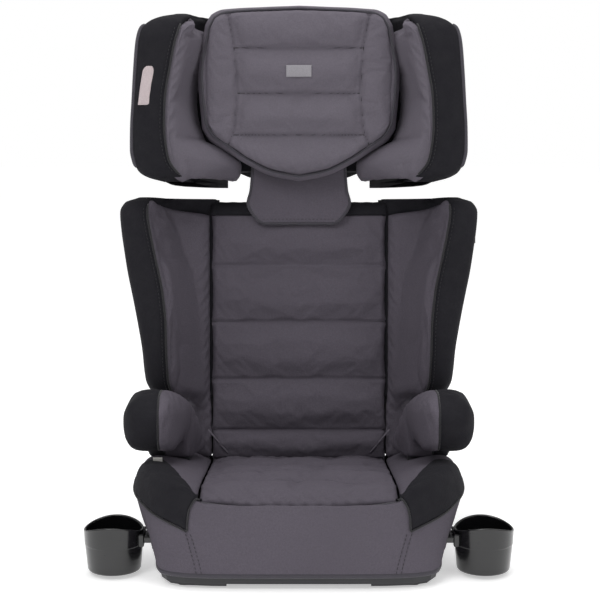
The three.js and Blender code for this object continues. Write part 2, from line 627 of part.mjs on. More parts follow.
// Assembly -------------------------------------------------------------------------------------
function buildBase() {
  add(everything, 'base_shell', baseShell(), BLACK_PLASTIC, 0.6);
  add(everything, 'base_pan', basePan(), BLACK_PLASTIC, 0.65);
  ['front', 'rear'].forEach((end, i) => {
    addPair(everything, `foot_pad_${end}`, footPad(LOBES[i]), 0x1b1b1c, 0.9);
  });
  SCREW_SPOTS.forEach(([x, y], i) => {
    const made = screw(SCREW_R, 4.6, 2.4, 18).translate(x, y, 3.6);
    add(everything, `base_screw_${i + 1}`, made, 0xa8aab0, 0.35, 1);
  });
  add(everything, 'seat_foam', seatFoam(), 0x8a8a88, 0.95);
  add(everything, 'seat_cover', seatCover(), GREY, 0.9);
  add(everything, 'seat_pad', seatPad(), GREY, 0.9);
  addPair(everything, 'armrest_core', armrestCore(), BLACK_PLASTIC, 0.6);
  addPair(everything, 'armrest_cover', armrestSkin(ARM_SPLIT, 240), BLACK_CLOTH, 0.9);
  addPair(everything, 'armrest_inner', armrestSkin(100, ARM_SPLIT - GAP), GREY, 0.9);
  addPair(everything, 'cup_socket', cupSocket(), BLACK_PLASTIC, 0.6);
  addPair(everything, 'cup_holder', cupHolder(), 0x1c1c20, 0.22);
  add(everything, 'hinge_rod', hingeRod(), 0xb4b6ba, 0.3, 1);
  addPair(everything, 'rod_bracket', rodBracket(), BLACK_PLASTIC, 0.6);
}

function buildBackrest() {
  add(leaned, 'back_shell', backShell(), BLACK_PLASTIC, 0.6);
  add(leaned, 'back_pad', backPad(), GREY, 0.9);
  add(leaned, 'back_top_trim', backTopTrim(), BLACK_CLOTH, 0.9);
  addPair(leaned, 'shoulder_pad', join(wingPad(SHOULDER), hipPad()), GREY, 0.9);
  addPair(leaned, 'shoulder_cover', wingCover(SHOULDER), BLACK_CLOTH, 0.9);
  add(leaned, 'height_rack', heightRack(), BLACK_PLASTIC, 0.5);
  addPair(leaned, 'guide_rail', guideRail(), BLACK_PLASTIC, 0.5);
  RAIL_SCREWS.forEach(([x, w], i) => {
    const made = screw(SCREW_R, 4, 2, 13).rotateX(Math.PI / 2).translate(x, 3.5 + 0.3 + 2, w);
    add(leaned, `rail_screw_${i + 1}`, made, 0xa8aab0, 0.35, 1);
  });
  addPair(leaned, 'hinge_hook', hingeHook(), BLACK_PLASTIC, 0.5);
}

function buildHeadrest() {
  add(leaned, 'headrest_shell', headrestShell(), BLACK_PLASTIC, 0.6);
  add(leaned, 'head_back_pad', headBackPad(), GREY, 0.9);
  const headPad = cut(wingPad(HEAD), pillowRoom, wingShell(HEAD, SHELL / 2 + GAP));
  addPair(leaned, 'head_pad', headPad, PAD_GREY, 0.9);
  addPair(leaned, 'head_cover', wingCover(HEAD), BLACK_CLOTH, 0.9);
  add(leaned, 'head_pillow', headPillow(), 0x706974, 0.9);
  add(leaned, 'neck_flap', neckFlap(), GREY, 0.9);
  add(leaned, 'headrest_mast', headrestMast(), BLACK_PLASTIC, 0.5);
  MAST_SCREWS.forEach((w, i) => {
    const made = screw(SCREW_R, 4, 2, 9.5).rotateX(Math.PI / 2).translate(0, MAST.back + 0.3 + 2, w);
    add(leaned, `mast_screw_${i + 1}`, made, 0xa8aab0, 0.35, 1);
  });
  addPair(leaned, 'belt_guide', beltGuide(), BLACK_PLASTIC, 0.45);
  add(leaned, 'lever_pin', leverPin(), 0xb4b6ba, 0.3, 1);
  add(leaned, 'lever_spring', leverSpring(), 0x9a9ca0, 0.35, 1);
  add(leaned, 'release_lever', releaseLever(), 0x303034, 0.45);
  add(leaned, 'latch_bolt', latchBolt(), 0xa8aab0, 0.35, 1);
}

buildBase();
buildBackrest();
buildHeadrest();

export default everything;
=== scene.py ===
import json
import math
from contextlib import contextmanager

import bmesh
import bpy
import numpy as np
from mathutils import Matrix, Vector


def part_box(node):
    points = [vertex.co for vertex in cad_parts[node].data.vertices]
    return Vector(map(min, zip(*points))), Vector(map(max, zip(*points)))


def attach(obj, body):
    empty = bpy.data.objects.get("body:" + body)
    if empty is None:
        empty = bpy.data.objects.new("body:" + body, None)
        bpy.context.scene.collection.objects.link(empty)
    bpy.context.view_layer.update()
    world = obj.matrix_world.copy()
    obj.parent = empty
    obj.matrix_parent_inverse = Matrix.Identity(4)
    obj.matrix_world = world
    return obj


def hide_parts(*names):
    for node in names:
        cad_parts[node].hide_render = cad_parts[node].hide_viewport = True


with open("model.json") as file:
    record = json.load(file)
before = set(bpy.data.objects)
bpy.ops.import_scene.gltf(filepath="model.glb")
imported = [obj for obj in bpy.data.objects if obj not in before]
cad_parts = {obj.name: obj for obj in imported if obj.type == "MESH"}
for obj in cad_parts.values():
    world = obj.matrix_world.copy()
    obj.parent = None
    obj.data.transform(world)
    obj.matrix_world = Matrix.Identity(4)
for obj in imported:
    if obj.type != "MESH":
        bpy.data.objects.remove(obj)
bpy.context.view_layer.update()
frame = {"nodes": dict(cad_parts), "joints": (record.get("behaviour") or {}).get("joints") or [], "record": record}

# A high-back booster seat. Lengths below are millimetres until a mesh is made, then metres.
MM = 0.001
JOINTS = {joint["name"]: joint for joint in frame["joints"]}
HINGE = np.array(JOINTS["backrest_recline"]["pos_m"])
UP = np.array(JOINTS["headrest_height"]["axis"])  # up the leaning back
FORWARD = np.array([0.0, -UP[2], UP[1]])  # out of the leaning back, towards the child
ACROSS = np.array([1.0, 0.0, 0.0])

# Sizes that several pieces share
PAD_HALF = 121.5  # half width of the channelled panels of seat and back
SEAT_RISE = 15.0  # side bolsters above the middle of the seat
HEM_Z = 16.5  # height of the seat cover's hem
CUP_CENTRE = (231.0, -140.0)
CUP_RADIUS = 37.5


# ---------------------------------------------------------------- curves and numbers
def smooth_steps(knots, values, at):
    """A curve through (knots, values) that never overshoots, read at the given places."""
    knots, values = np.array(knots, float), np.array(values, float)
    at = np.clip(np.asarray(at, float), knots[0], knots[-1])
    slopes = np.diff(values) / np.diff(knots)
    tangents = np.zeros(len(knots))
    tangents[0], tangents[-1] = slopes[0], slopes[-1]
    for i in range(1, len(knots) - 1):
        if slopes[i - 1] * slopes[i] > 0:
            tangents[i] = 2 * slopes[i - 1] * slopes[i] / (slopes[i - 1] + slopes[i])
    i = np.clip(np.searchsorted(knots, at, side="right") - 1, 0, len(knots) - 2)
    width = knots[i + 1] - knots[i]
    t = (at - knots[i]) / width
    return (
        (1 + 2 * t) * (1 - t) ** 2 * values[i]
        + t * (1 - t) ** 2 * width * tangents[i]
        + t * t * (3 - 2 * t) * values[i + 1]
        - t * t * (1 - t) * width * tangents[i + 1]
    )


def curve_through(controls, at):
    """Catmull-Rom through controls, shaped (points, ..., axes), read at places counted in points."""
    controls = np.asarray(controls, float)
    last = len(controls) - 1
    at = np.clip(np.asarray(at, float), 0, last)
    i = np.minimum(at.astype(int), last - 1)
    t = (at - i).reshape((-1,) + (1,) * (controls.ndim - 1))
    before = controls[np.maximum(i - 1, 0)]
    start, end = controls[i], controls[i + 1]
    after = controls[np.minimum(i + 2, last)]
    return 0.5 * (
        2 * start
        + (end - before) * t
        + (2 * before - 5 * start + 4 * end - after) * t**2
        + (3 * start - before - 3 * end + after) * t**3
    )


def ease(t):
    t = np.clip(t, 0, 1)
    return t * t * (3 - 2 * t)


def groove(distance, width, depth):
    return -depth * np.exp(-((distance / width) ** 2))


def channel_crown(at, seams, height, fullness=2.6):
    """Rise of the padding between sewn lines: none on a line and height midway between two."""
    seams = np.array(sorted(seams))
    i = np.clip(np.searchsorted(seams, at, side="right") - 1, 0, len(seams) - 2)
    t = np.clip((at - seams[i]) / (seams[i + 1] - seams[i]), 0, 1)
    return height * (1 - np.abs(2 * t - 1) ** fullness)


def ripple(a, b, seed):
    """Slow, smooth unevenness from -1 to 1 over two coordinates in millimetres."""
    draw = np.random.default_rng(seed)
    total = np.zeros(np.broadcast(a, b).shape)
    for _ in range(5):
        angle, phase = draw.uniform(0, math.pi), draw.uniform(0, 2 * math.pi)
        wave = draw.uniform(45, 110)
        total += np.sin((a * math.cos(angle) + b * math.sin(angle)) * 2 * math.pi / wave + phase)
    return total / 5


def on_back(x, forward, up):
    """Points of the leaning back, in metres, from millimetres across, forward and up it."""
    x, forward, up = np.broadcast_arrays(x, forward, up)
    along = x[..., None] * ACROSS + forward[..., None] * FORWARD + up[..., None] * UP
    return HINGE + MM * along


def lattice(first, second):
    """Two coordinates over a grid. Each is given as its start, end and number of points."""
    return np.meshgrid(np.linspace(*first), np.linspace(*second), indexing="ij")


# ---------------------------------------------------------------- mesh making
def placed(name, data):
    """A new object in the scene."""
    made = bpy.data.objects.new(name, data)
    bpy.context.scene.collection.objects.link(made)
    return made


@contextmanager
def reshaping(mesh):
    """Opens a mesh for editing, and writes the result back to it."""
    shape = bmesh.new()
    shape.from_mesh(mesh)
    yield shape
    shape.to_mesh(mesh)
    shape.free()


def duplicate(source, name):
    """A copy of a piece with its own mesh and the same modifiers."""
    made = source.copy()
    made.data = source.data.copy()
    made.name = made.data.name = name
    bpy.context.scene.collection.objects.link(made)
    return made


def make_object(name, vertices, faces, uv=None):
    mesh = bpy.data.meshes.new(name)
    mesh.from_pydata([tuple(v) for v in vertices], [], faces)
    if uv is not None:
        layer = mesh.uv_layers.new(name="UVMap")
        index = np.zeros(len(mesh.loops), int)
        mesh.loops.foreach_get("vertex_index", index)
        layer.data.foreach_set("uv", np.asarray(uv, np.float32)[index].ravel())
    mesh.polygons.foreach_set("use_smooth", [True] * len(mesh.polygons))
    mesh.update()
    return placed(name, mesh)


def arc_lengths(grid, axis):
    steps = np.linalg.norm(np.diff(grid, axis=axis), axis=-1)
    start = np.zeros_like(np.take(steps, [0], axis=axis))
    return np.concatenate([start, np.cumsum(steps, axis=axis)], axis=axis)


def grid_normals(grid, outward):
    normal = np.cross(np.gradient(grid, axis=0), np.gradient(grid, axis=1))
    normal /= np.linalg.norm(normal, axis=-1, keepdims=True) + 1e-12
    return -normal if (normal @ np.asarray(outward, float)).mean() < 0 else normal


def edge_distance(grid, sides="uUvV"):
    """Distance in metres from each grid point to the nearest of the named borders."""
    along_u, along_v = arc_lengths(grid, 0), arc_lengths(grid, 1)
    far = np.full(grid.shape[:2], 1.0)
    choices = {
        "u": along_u,
        "U": along_u[-1:] - along_u,
        "v": along_v,
        "V": along_v[:, -1:] - along_v,
    }
    for side in sides:
        far = np.minimum(far, choices[side])
    return far


def panel(name, grid, outward, thickness, roll=3.0, roll_width=7.0, crown=0.0, crown_width=30.0,
          sides="uUvV", pucker=0.35, seed=1):
    """A padded panel with a closed back: the grid is its face, and its borders roll down to seams."""
    normal = grid_normals(grid, outward)
    distance = edge_distance(grid, sides) / MM
    rise = crown * (1 - (1 - np.clip(distance / crown_width, 0, 1)) ** 2)
    rise -= roll * (1 - np.clip(distance / roll_width, 0, 1)) ** 2
    along = (arc_lengths(grid, 0) + arc_lengths(grid, 1)) / MM
    gathers = np.sin(along * 2 * math.pi / 17 + 2 * ripple(along, distance, seed))
    rise += pucker * np.exp(-distance / 9) * gathers
    face = grid + normal * (rise * MM)[..., None]
    back = grid - normal * (thickness * MM)
    rows, columns = grid.shape[:2]
    count = rows * columns
    flipped = np.dot(np.cross(grid[1, 0] - grid[0, 0], grid[0, 1] - grid[0, 0]), normal[0, 0]) < 0
    faces = []
    for i in range(rows - 1):
        for j in range(columns - 1):
            quad = [i * columns + j, (i + 1) * columns + j, (i + 1) * columns + j + 1, i * columns + j + 1]
            faces.append(quad)
            faces.append([q + count for q in reversed(quad)])
    border = [(i, 0) for i in range(rows)] + [(rows - 1, j) for j in range(1, columns)]
    border += [(i, columns - 1) for i in range(rows - 2, -1, -1)]
    border += [(0, j) for j in range(columns - 2, 0, -1)]
    ring = [i * columns + j for i, j in border]
    for here, there in zip(ring, ring[1:] + ring[:1]):
        faces.append([here, here + count, there + count, there])
    if flipped:
        faces = [list(reversed(f)) for f in faces]
    uv = np.stack([arc_lengths(grid, 0), arc_lengths(grid, 1)], -1).reshape(-1, 2)
    made = make_object(name, np.concatenate([face.reshape(-1, 3), back.reshape(-1, 3)]), faces,
                       np.concatenate([uv, uv]))
    face_out(made)
    return made


def face_out(made):
    with reshaping(made.data) as shape:
        bmesh.ops.recalc_face_normals(shape, faces=shape.faces)


def closed_loft(name, rings):
    """A closed body through rings, shaped (levels, points, 3), with a flat cap at each end."""
    levels, count = rings.shape[:2]
    faces = []
    for level in range(levels - 1):
        for i in range(count):
            low, low_next = level * count + i, level * count + (i + 1) % count
            faces.append([low, low_next, low_next + count, low + count])
    faces.append(list(range(count)))
    faces.append([(levels - 1) * count + i for i in reversed(range(count))])
    around = arc_lengths(rings, 1)
    up = arc_lengths(rings, 0)
    uv = np.stack([around, up], -1).reshape(-1, 2)
    made = make_object(name, rings.reshape(-1, 3), faces, uv)
    face_out(made)
    return made


def tube(name, path, radius, sides=10, closed=False):
    """A round cord of the given radius in metres along path, with rounded ends unless it is closed."""
    path = np.asarray(path, float)
    if closed:
        tangents = np.roll(path, -1, 0) - np.roll(path, 1, 0)
    else:
        tangents = np.gradient(path, axis=0)
    tangents /= np.linalg.norm(tangents, axis=1, keepdims=True)
    side = np.cross(tangents[0], [0.3, 0.5, 0.8])
    rings = []
    turns = np.arange(sides) * 2 * math.pi / sides
    for i, tangent in enumerate(tangents):
        side = side - tangent * np.dot(side, tangent)
        side /= np.linalg.norm(side)
        other = np.cross(tangent, side)
        near_end = min(i, len(path) - 1 - i)
        share = 1.0 if closed or near_end > 1 else (0.55, 0.9)[near_end]
        spokes = np.cos(turns)[:, None] * side + np.sin(turns)[:, None] * other
        rings.append(path[i] + radius * share * spokes)
    rings = np.array(rings)
    if not closed:
        return closed_loft(name, rings)
    count = len(path)
    faces = [
        [i * sides + j, i * sides + (j + 1) % sides, ((i + 1) % count) * sides + (j + 1) % sides,
         ((i + 1) % count) * sides + j]
        for i in range(count) for j in range(sides)
    ]
    made = make_object(name, rings.reshape(-1, 3), faces)
    face_out(made)
    return made


def even_path(points, step):
    """The same path with points a fixed step apart, in metres."""
    points = np.asarray(points, float)
    length = np.concatenate([[0], np.cumsum(np.linalg.norm(np.diff(points, axis=0), axis=1))])
    at = np.linspace(0, length[-1], max(3, int(length[-1] / step) + 1))
    return np.stack([np.interp(at, length, points[:, k]) for k in range(3)], 1)


def stitching(name, paths, stitch=0.0034, gap=0.0016, radius=0.00042):
    """Rows of short thread stitches, one small spindle each, joined in one piece."""
    vertices, faces = [], []
    turns = np.arange(5) * 2 * math.pi / 5
    for path in paths:
        beads = even_path(path, stitch + gap)
        for here, there in zip(beads[:-1], beads[1:]):
            along = there - here
            if np.linalg.norm(along) < 1e-6:
                continue
            along = along / np.linalg.norm(along)
            side = np.cross(along, [0.2, 0.4, 0.9])
            side /= np.linalg.norm(side)
            other = np.cross(along, side)
            start = len(vertices)
            for share, wide in ((0, 0.35), (0.25, 1.0), (0.75, 1.0), (1, 0.35)):
                centre = here + along * stitch * share
                for turn in turns:
                    vertices.append(centre + radius * wide * (math.cos(turn) * side + math.sin(turn) * other))
            for ring in range(3):
                for k in range(5):
                    low = start + ring * 5 + k
                    low_next = start + ring * 5 + (k + 1) % 5
                    faces.append([low, low_next, low_next + 5, low + 5])
            faces.append([start + k for k in reversed(range(5))])
            faces.append([start + 15 + k for k in range(5)])
    made = make_object(name, vertices, faces)
    face_out(made)
    return made


def mirror_copy(source, name):
    """The same piece on the other side of x = 0."""
    made = duplicate(source, name)
    with reshaping(made.data) as shape:
        for vertex in shape.verts:
            vertex.co.x = -vertex.co.x
        bmesh.ops.reverse_faces(shape, faces=shape.faces)
    return made


def declare(piece, body, nodes=(), material=None):
    """Says what the piece rides on, its finish, and the CAD nodes that it stands for."""
    piece.data.materials.clear()
    piece.data.materials.append(material)
    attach(piece, body)
    if nodes:
        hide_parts(*nodes)


def both_sides(source, body, nodes, material):
    """Declares a right-hand piece and its mirror image."""
    other = mirror_copy(source, source.name.replace("right", "left"))
    for piece, side in ((source, "right"), (other, "left")):
        own_nodes = [f"{node}_{side}" for node in nodes]
        declare(piece, body.replace("right", side), own_nodes, material)


# ---------------------------------------------------------------- materials
def add_node(tree, kind, inputs, **settings):
    """Adds a node. Each input is a plain value or another node's output."""
    node = tree.nodes.new(kind)
    for key, value in settings.items():
        setattr(node, key, value)
    for key, value in inputs.items():
        feed(tree, node.inputs[key], value)
    return node


def feed(tree, socket, value):
    if isinstance(value, bpy.types.NodeSocket):
        tree.links.new(value, socket)
    else:
        socket.default_value = value


class Finish:
    """A node material under construction."""

    def __init__(self, name):
        self.material = bpy.data.materials.new(name)
        self.material.use_nodes = True
        self.tree = self.material.node_tree
        self.shader = self.tree.nodes["Principled BSDF"]
        self.place = add_node(self.tree, "ShaderNodeTexCoord", {}).outputs["Object"]
        self.normal = None

    def set(self, **values):
        """Gives the shader's inputs plain values or other nodes' outputs."""
        for key, value in values.items():
            feed(self.tree, self.shader.inputs[key.replace("_", " ")], value)

    def stretched(self, scale):
        inputs = {"Scale": scale, "Vector": self.place}
        return add_node(self.tree, "ShaderNodeMapping", inputs).outputs["Vector"]

    def noise(self, scale, detail=2.0, vector=None, roughness=0.5):
        inputs = {"Scale": scale, "Detail": detail, "Roughness": roughness, "Vector": vector or self.place}
        return add_node(self.tree, "ShaderNodeTexNoise", inputs).outputs["Fac"]

    def cells(self, scale, vector=None):
        inputs = {"Scale": scale, "Vector": vector or self.place}
        return add_node(self.tree, "ShaderNodeTexVoronoi", inputs).outputs["Distance"]

    def ribs(self, scale, distortion):
        """Slanting ribs of a weave or a twisted thread."""
        inputs = {"Scale": scale, "Distortion": distortion, "Vector": self.place}
        node = add_node(self.tree, "ShaderNodeTexWave", inputs, bands_direction="DIAGONAL")
        return node.outputs["Fac"]

    def product(self, a, b):
        return add_node(self.tree, "ShaderNodeMath", {0: a, 1: b}, operation="MULTIPLY").outputs[0]

    def spread(self, value, low, high, out_low, out_high):
        """Stretches the range low to high over out_low to out_high."""
        inputs = {"From Min": low, "From Max": high, "To Min": out_low, "To Max": out_high, "Value": value}
        return add_node(self.tree, "ShaderNodeMapRange", inputs).outputs["Result"]

    def blend(self, amount, a, b):
        """Mixes two colours, each a node's output or a linear red, green and blue."""
        a, b = ((*colour, 1.0) if isinstance(colour, tuple) else colour for colour in (a, b))
        inputs = {"Factor": amount, "A": a, "B": b}
        return add_node(self.tree, "ShaderNodeMix", inputs, data_type="RGBA").outputs["Result"]

    def worn_edges(self, low=0.52, high=0.62):
        geometry = add_node(self.tree, "ShaderNodeNewGeometry", {})
        return self.spread(geometry.outputs["Pointiness"], low, high, 0.0, 1.0)

    def bump(self, height, strength, distance):
        """Adds relief on top of the relief so far. The distance is in metres."""
        inputs = {"Strength": strength, "Distance": distance, "Height": height}
        if self.normal is not None:
            inputs["Normal"] = self.normal
        self.normal = add_node(self.tree, "ShaderNodeBump", inputs).outputs["Normal"]
        self.set(Normal=self.normal)


def tint(red, green, blue):
    """Linear colour from ordinary 0 to 255 values."""
    def linear(level):
        level /= 255
        return level / 12.92 if level <= 0.04045 else ((level + 0.055) / 1.055) ** 2.4
    return (linear(red), linear(green), linear(blue))


def shade(colour, factor):
    return tuple(min(1.0, channel * factor) for channel in colour)


def cloth(name, colour, variation, sheen):
    """Knitted polyester: fine loops, a mottled yarn, slow fading, and fuzz that catches the light."""
    f = Finish(name)
    yarn = f.noise(495, 3.0, roughness=0.7)
    loops = f.cells(900, f.stretched((1.0, 1.0, 0.72)))
    mottle = f.noise(70, 3.0, roughness=0.6)
    fading = f.noise(7, 2.0)
    fine = f.blend(f.spread(yarn, 0.3, 0.7, 0, 1), shade(colour, 1 - variation), shade(colour, 1 + variation))
    patchy = f.blend(f.spread(mottle, 0.3, 0.7, 0, 0.35), fine, shade(colour, 1 + variation * 0.8))
    slow = f.blend(f.spread(fading, 0.35, 0.65, 0, 0.5), patchy, shade(colour, 1 - variation * 0.7))
    dusty = f.blend(f.product(f.worn_edges(), 0.35), slow, shade(colour, 1.6))
    f.set(Base_Color=dusty, Roughness=f.spread(mottle, 0.3, 0.7, 0.82, 0.97), Specular_IOR_Level=0.25)
    f.set(Sheen_Weight=sheen, Sheen_Roughness=0.45, Sheen_Tint=(*shade(colour, 3.2), 1.0))
    f.bump(loops, 0.55, 0.0006)
    f.bump(f.noise(240, 2.0), 0.5, 0.0008)
    f.bump(f.noise(38, 2.0), 0.25, 0.0022)
    return f.material


def binding(name, colour):
    """Ribbed woven tape, for piping and bound edges. Its colour mixes random flecks with painted shade in the
    valleys between the ribs and painted light on their crowns.
    """
    f = Finish(name)
    ribs = f.ribs(420, 0.6)
    fleck = f.noise(600, 2.0)
    # Random flecks times the ribs: darker in the rib valleys and lighter on the crowns, as painted shade and
    # light.
    f.set(Base_Color=f.blend(f.product(ribs, fleck), shade(colour, 0.75), shade(colour, 1.35)))
    f.set(Roughness=f.spread(fleck, 0.3, 0.7, 0.68, 0.86), Sheen_Weight=0.2, Sheen_Roughness=0.4)
    f.bump(ribs, 0.5, 0.0005)
    return f.material


def thread(name, colour):
    """Twisted sewing thread, painted lighter on the crowns of its twist and darker in its grooves as light and
    shade.
    """
    f = Finish(name)
    twist = f.ribs(900, 0.3)
    # Lighter where the twist stands up and darker where it sinks: painted light and shade on the twist.
    f.set(Base_Color=f.blend(twist, shade(colour, 0.8), shade(colour, 1.3)))
    f.set(Roughness=f.spread(twist, 0, 1, 0.5, 0.7))
    f.bump(twist, 0.4, 0.0002)
    return f.material


def moulded(name, colour):
    """Injection-moulded plastic with a spark-eroded grain, rubbed paler along its edges."""
    f = Finish(name)
    speck = f.noise(1400, 2.0, roughness=0.6)
    smear = f.noise(18, 3.0)
    worn = f.product(f.worn_edges(0.53, 0.66), 0.5)
    toned = f.blend(f.spread(smear, 0.3, 0.7, 0, 1), shade(colour, 0.88), shade(colour, 1.14))
    f.set(Base_Color=f.blend(worn, toned, shade(colour, 2.0)))
    f.set(Roughness=f.spread(smear, 0.3, 0.7, 0.43, 0.59))
    f.bump(speck, 0.35, 0.00025)
    f.bump(f.noise(30, 1.0), 0.08, 0.001)
    return f.material


def polished(name, colour):
    """Glossy moulded plastic with faint scuffs and a slight unevenness in its reflections."""
    f = Finish(name)
    scuff = f.noise(60, 4.0, f.stretched((1.0, 1.0, 6.0)), 0.7)
    smear = f.noise(14, 2.0)
    f.set(Base_Color=f.blend(f.spread(smear, 0.3, 0.7, 0, 1), shade(colour, 0.85), shade(colour, 1.2)))
    f.set(Roughness=f.spread(scuff, 0.35, 0.75, 0.17, 0.30), Coat_Weight=0.35, Coat_Roughness=0.12)
    f.bump(f.noise(26, 1.0), 0.06, 0.0015)
    f.bump(scuff, 0.05, 0.0002)
    return f.material


def metal(name, colour):
    """Plated steel, brushed along x and a little stained."""
    f = Finish(name)
    brushed = f.noise(120, 3.0, f.stretched((0.2, 8.0, 8.0)), 0.6)
    stain = f.noise(40, 3.0)
    f.set(Base_Color=f.blend(f.spread(stain, 0.35, 0.7, 0, 1), colour, shade(colour, 0.7)))
    f.set(Roughness=f.spread(brushed, 0.3, 0.7, 0.24, 0.44), Metallic=1.0)
    f.bump(brushed, 0.15, 0.0002)
    return f.material


def soft_rubber(name, colour):
    """Dull rubber with a fine grain and dust on it."""
    f = Finish(name)
    grain = f.noise(900, 2.0)
    dust = f.noise(50, 3.0)
    f.set(Base_Color=f.blend(f.spread(dust, 0.4, 0.75, 0, 0.6), colour, shade(colour, 1.8)))
    f.set(Roughness=f.spread(grain, 0.3, 0.7, 0.72, 0.9))
    f.bump(grain, 0.4, 0.0003)
    return f.material


def open_foam(name, colour):
    """Foam with open pores, painted darker towards each pore's middle as shade in the hole."""
    f = Finish(name)
    pores = f.cells(1200)
    # Darker towards each pore's middle, where the bump sinks: painted shade inside the pores.
    f.set(Base_Color=f.blend(f.spread(pores, 0.0, 0.6, 0, 1), shade(colour, 0.6), colour))
    f.set(Roughness=f.spread(f.noise(80, 2.0), 0.3, 0.7, 0.85, 0.98))
    f.bump(pores, 0.6, 0.0006)
    return f.material


GREY = cloth("grey_knit", tint(86, 81, 90), variation=0.16, sheen=0.12)
PAD_GREY = cloth("light_grey_knit", tint(98, 93, 102), variation=0.13, sheen=0.12)
BLACK = cloth("black_knit", tint(27, 26, 31), variation=0.22, sheen=0.10)
EDGE_TAPE = binding("edge_tape", tint(66, 63, 71))
DARK_TAPE = binding("dark_tape", tint(30, 29, 33))
SEAM_THREAD = thread("seam_thread", tint(30, 29, 33))
WHITE_TAPE = binding("white_woven_label", tint(206, 204, 200))
BLANK_LABEL = binding("blank_label", tint(196, 182, 184))
GREY_LABEL = binding("grey_woven_label", tint(150, 147, 153))
PLASTIC = moulded("grained_black_plastic", tint(36, 36, 39))
GLOSS = polished("gloss_black_plastic", tint(13, 13, 15))
STEEL = metal("zinc_plated_steel", tint(176, 176, 174))
RUBBER = soft_rubber("foot_rubber", tint(26, 26, 27))
FOAM = open_foam("foam", tint(92, 92, 96))


# ---------------------------------------------------------------- swelling by cloth simulation
def inflate(piece, pinned, pressure, grow, cap=4, frames=16):
    """Swells a closed piece as stuffed cloth. Pinned points stay, and no point moves more than cap mm.

    grow is how much longer the cloth becomes, as a share.
    """
    scene = bpy.context.scene
    group = piece.vertex_groups.new(name="sewn")
    group.add([int(i) for i in pinned], 1.0, "REPLACE")
    modifier = piece.modifiers.new("Swell", "CLOTH")
    settings = modifier.settings
    settings.quality = 4
    settings.mass = 0.3
    settings.bending_stiffness = 0.4
    settings.tension_stiffness = 12
    settings.compression_stiffness = 12
    settings.vertex_group_mass = "sewn"
    settings.shrink_min = -grow
    settings.use_pressure = True
    settings.uniform_pressure_force = pressure
    settings.effector_weights.gravity = 0
    modifier.collision_settings.use_collision = False
    modifier.point_cache.frame_start, modifier.point_cache.frame_end = 1, frames
    start = read_points(piece.data)
    for step in range(1, frames + 1):
        scene.frame_set(step)
    swollen = piece.evaluated_get(bpy.context.evaluated_depsgraph_get())
    moved = read_points(swollen.data) - start
    piece.modifiers.remove(modifier)
    piece.vertex_groups.remove(group)
    scene.frame_set(1)
    length = np.linalg.norm(moved, axis=1, keepdims=True) + 1e-12
    limit = cap * MM
    write_points(piece.data, start + moved / length * limit * np.tanh(length / limit))


def read_points(mesh):
    points = np.zeros(len(mesh.vertices) * 3)
    mesh.vertices.foreach_get("co", points)
    return points.reshape(-1, 3)


def write_points(mesh, points):
    mesh.vertices.foreach_set("co", np.asarray(points).ravel())
    mesh.update()


def grid_pins(shape, held):
    """Pinned points of a panel made on a grid: all of its back, and its face where held is true."""
    count = shape[0] * shape[1]
    return np.concatenate([np.nonzero(held.ravel())[0], np.arange(count, 2 * count)])


def near(values, seams, reach):
    """True where a value is within reach of one of the seams."""
    return np.min([np.abs(values - seam) for seam in seams], axis=0) < reach


# ---------------------------------------------------------------- backrest
BACK_SEAMS = (20, 59, 130, 209.5, 288, 357)  # heights of the sewn channels, up the back


def back_panel_face(x, up):
    """How far forward the channelled panel stands."""
    fade = 1 - np.abs(x / PAD_HALF) ** 8
    rise = channel_crown(up, BACK_SEAMS, 9.0, 2.2) * fade
    for seam in BACK_SEAMS[1:-1]:
        rise += groove(up - seam, 1.7, 3.4)
    return 54.0 + rise + 1.5 * fade + 0.5 * ripple(x, up, 3)


def back_cushion():
    x, w = lattice((-PAD_HALF, PAD_HALF, 98), (20, 357, 150))
    grid = on_back(x, back_panel_face(x, w), w)
    piece = panel("back_cushion", grid, FORWARD, 30, roll=4, roll_width=9, sides="uU", seed=2)
    held = near(w, BACK_SEAMS, 2.4) | (np.abs(x) > PAD_HALF - 3)
    inflate(piece, grid_pins(x.shape, held), pressure=2.0, grow=0.008)
    declare(piece, "backrest", ["back_pad"], GREY)
    run = np.linspace(-PAD_HALF + 3, PAD_HALF - 3, 60)
    lines = [on_back(run, back_panel_face(run, np.full(60, seam)) - 0.1, seam) for seam in BACK_SEAMS[1:-1]]
    # Dark cords in the back's grooves: painted shade over the seams.
    seam_shade_cords("back_seam_shade", lines, "backrest")
    tape = tube("back_side_seam_right", on_back(122.1, 42, np.linspace(24, 356, 40)), 0.0032)
    both_sides(tape, "backrest", [], DARK_TAPE)


def seam_shade_cords(name, lines, body):
    """Dark cords at the bottom of the grooves, on the sewn lines, as one piece. The seams are real; the cords'
    dark colour is painted shade in the grooves.
    """
    cords = [tube(f"{name}_{i}", line, 0.0008) for i, line in enumerate(lines)]
    vertices, faces = [], []
    for cord in cords:
        start = len(vertices)
        vertices += [v.co.copy() for v in cord.data.vertices]
        faces += [[start + k for k in face.vertices] for face in cord.data.polygons]
        bpy.data.objects.remove(cord)
    joined = make_object(name, vertices, faces)
    # Dark tape on the cords: painted shade along the bottom of each groove.
    declare(joined, body, material=DARK_TAPE)


def back_trim():
    """The black band over the top of the back."""
    x, t = lattice((-PAD_HALF, PAD_HALF, 70), (0, 1, 16))
    w = 357.5 + 19 * np.sin(t * math.pi / 2)
    n = 57.5 - 17 * (1 - np.cos(t * math.pi / 2)) + 0.5 * ripple(x, w, 4)
    piece = panel("back_top_band", on_back(x, n, w), FORWARD + UP, 9, roll=2, roll_width=5, seed=5)
    declare(piece, "backrest", ["back_top_trim"], BLACK)


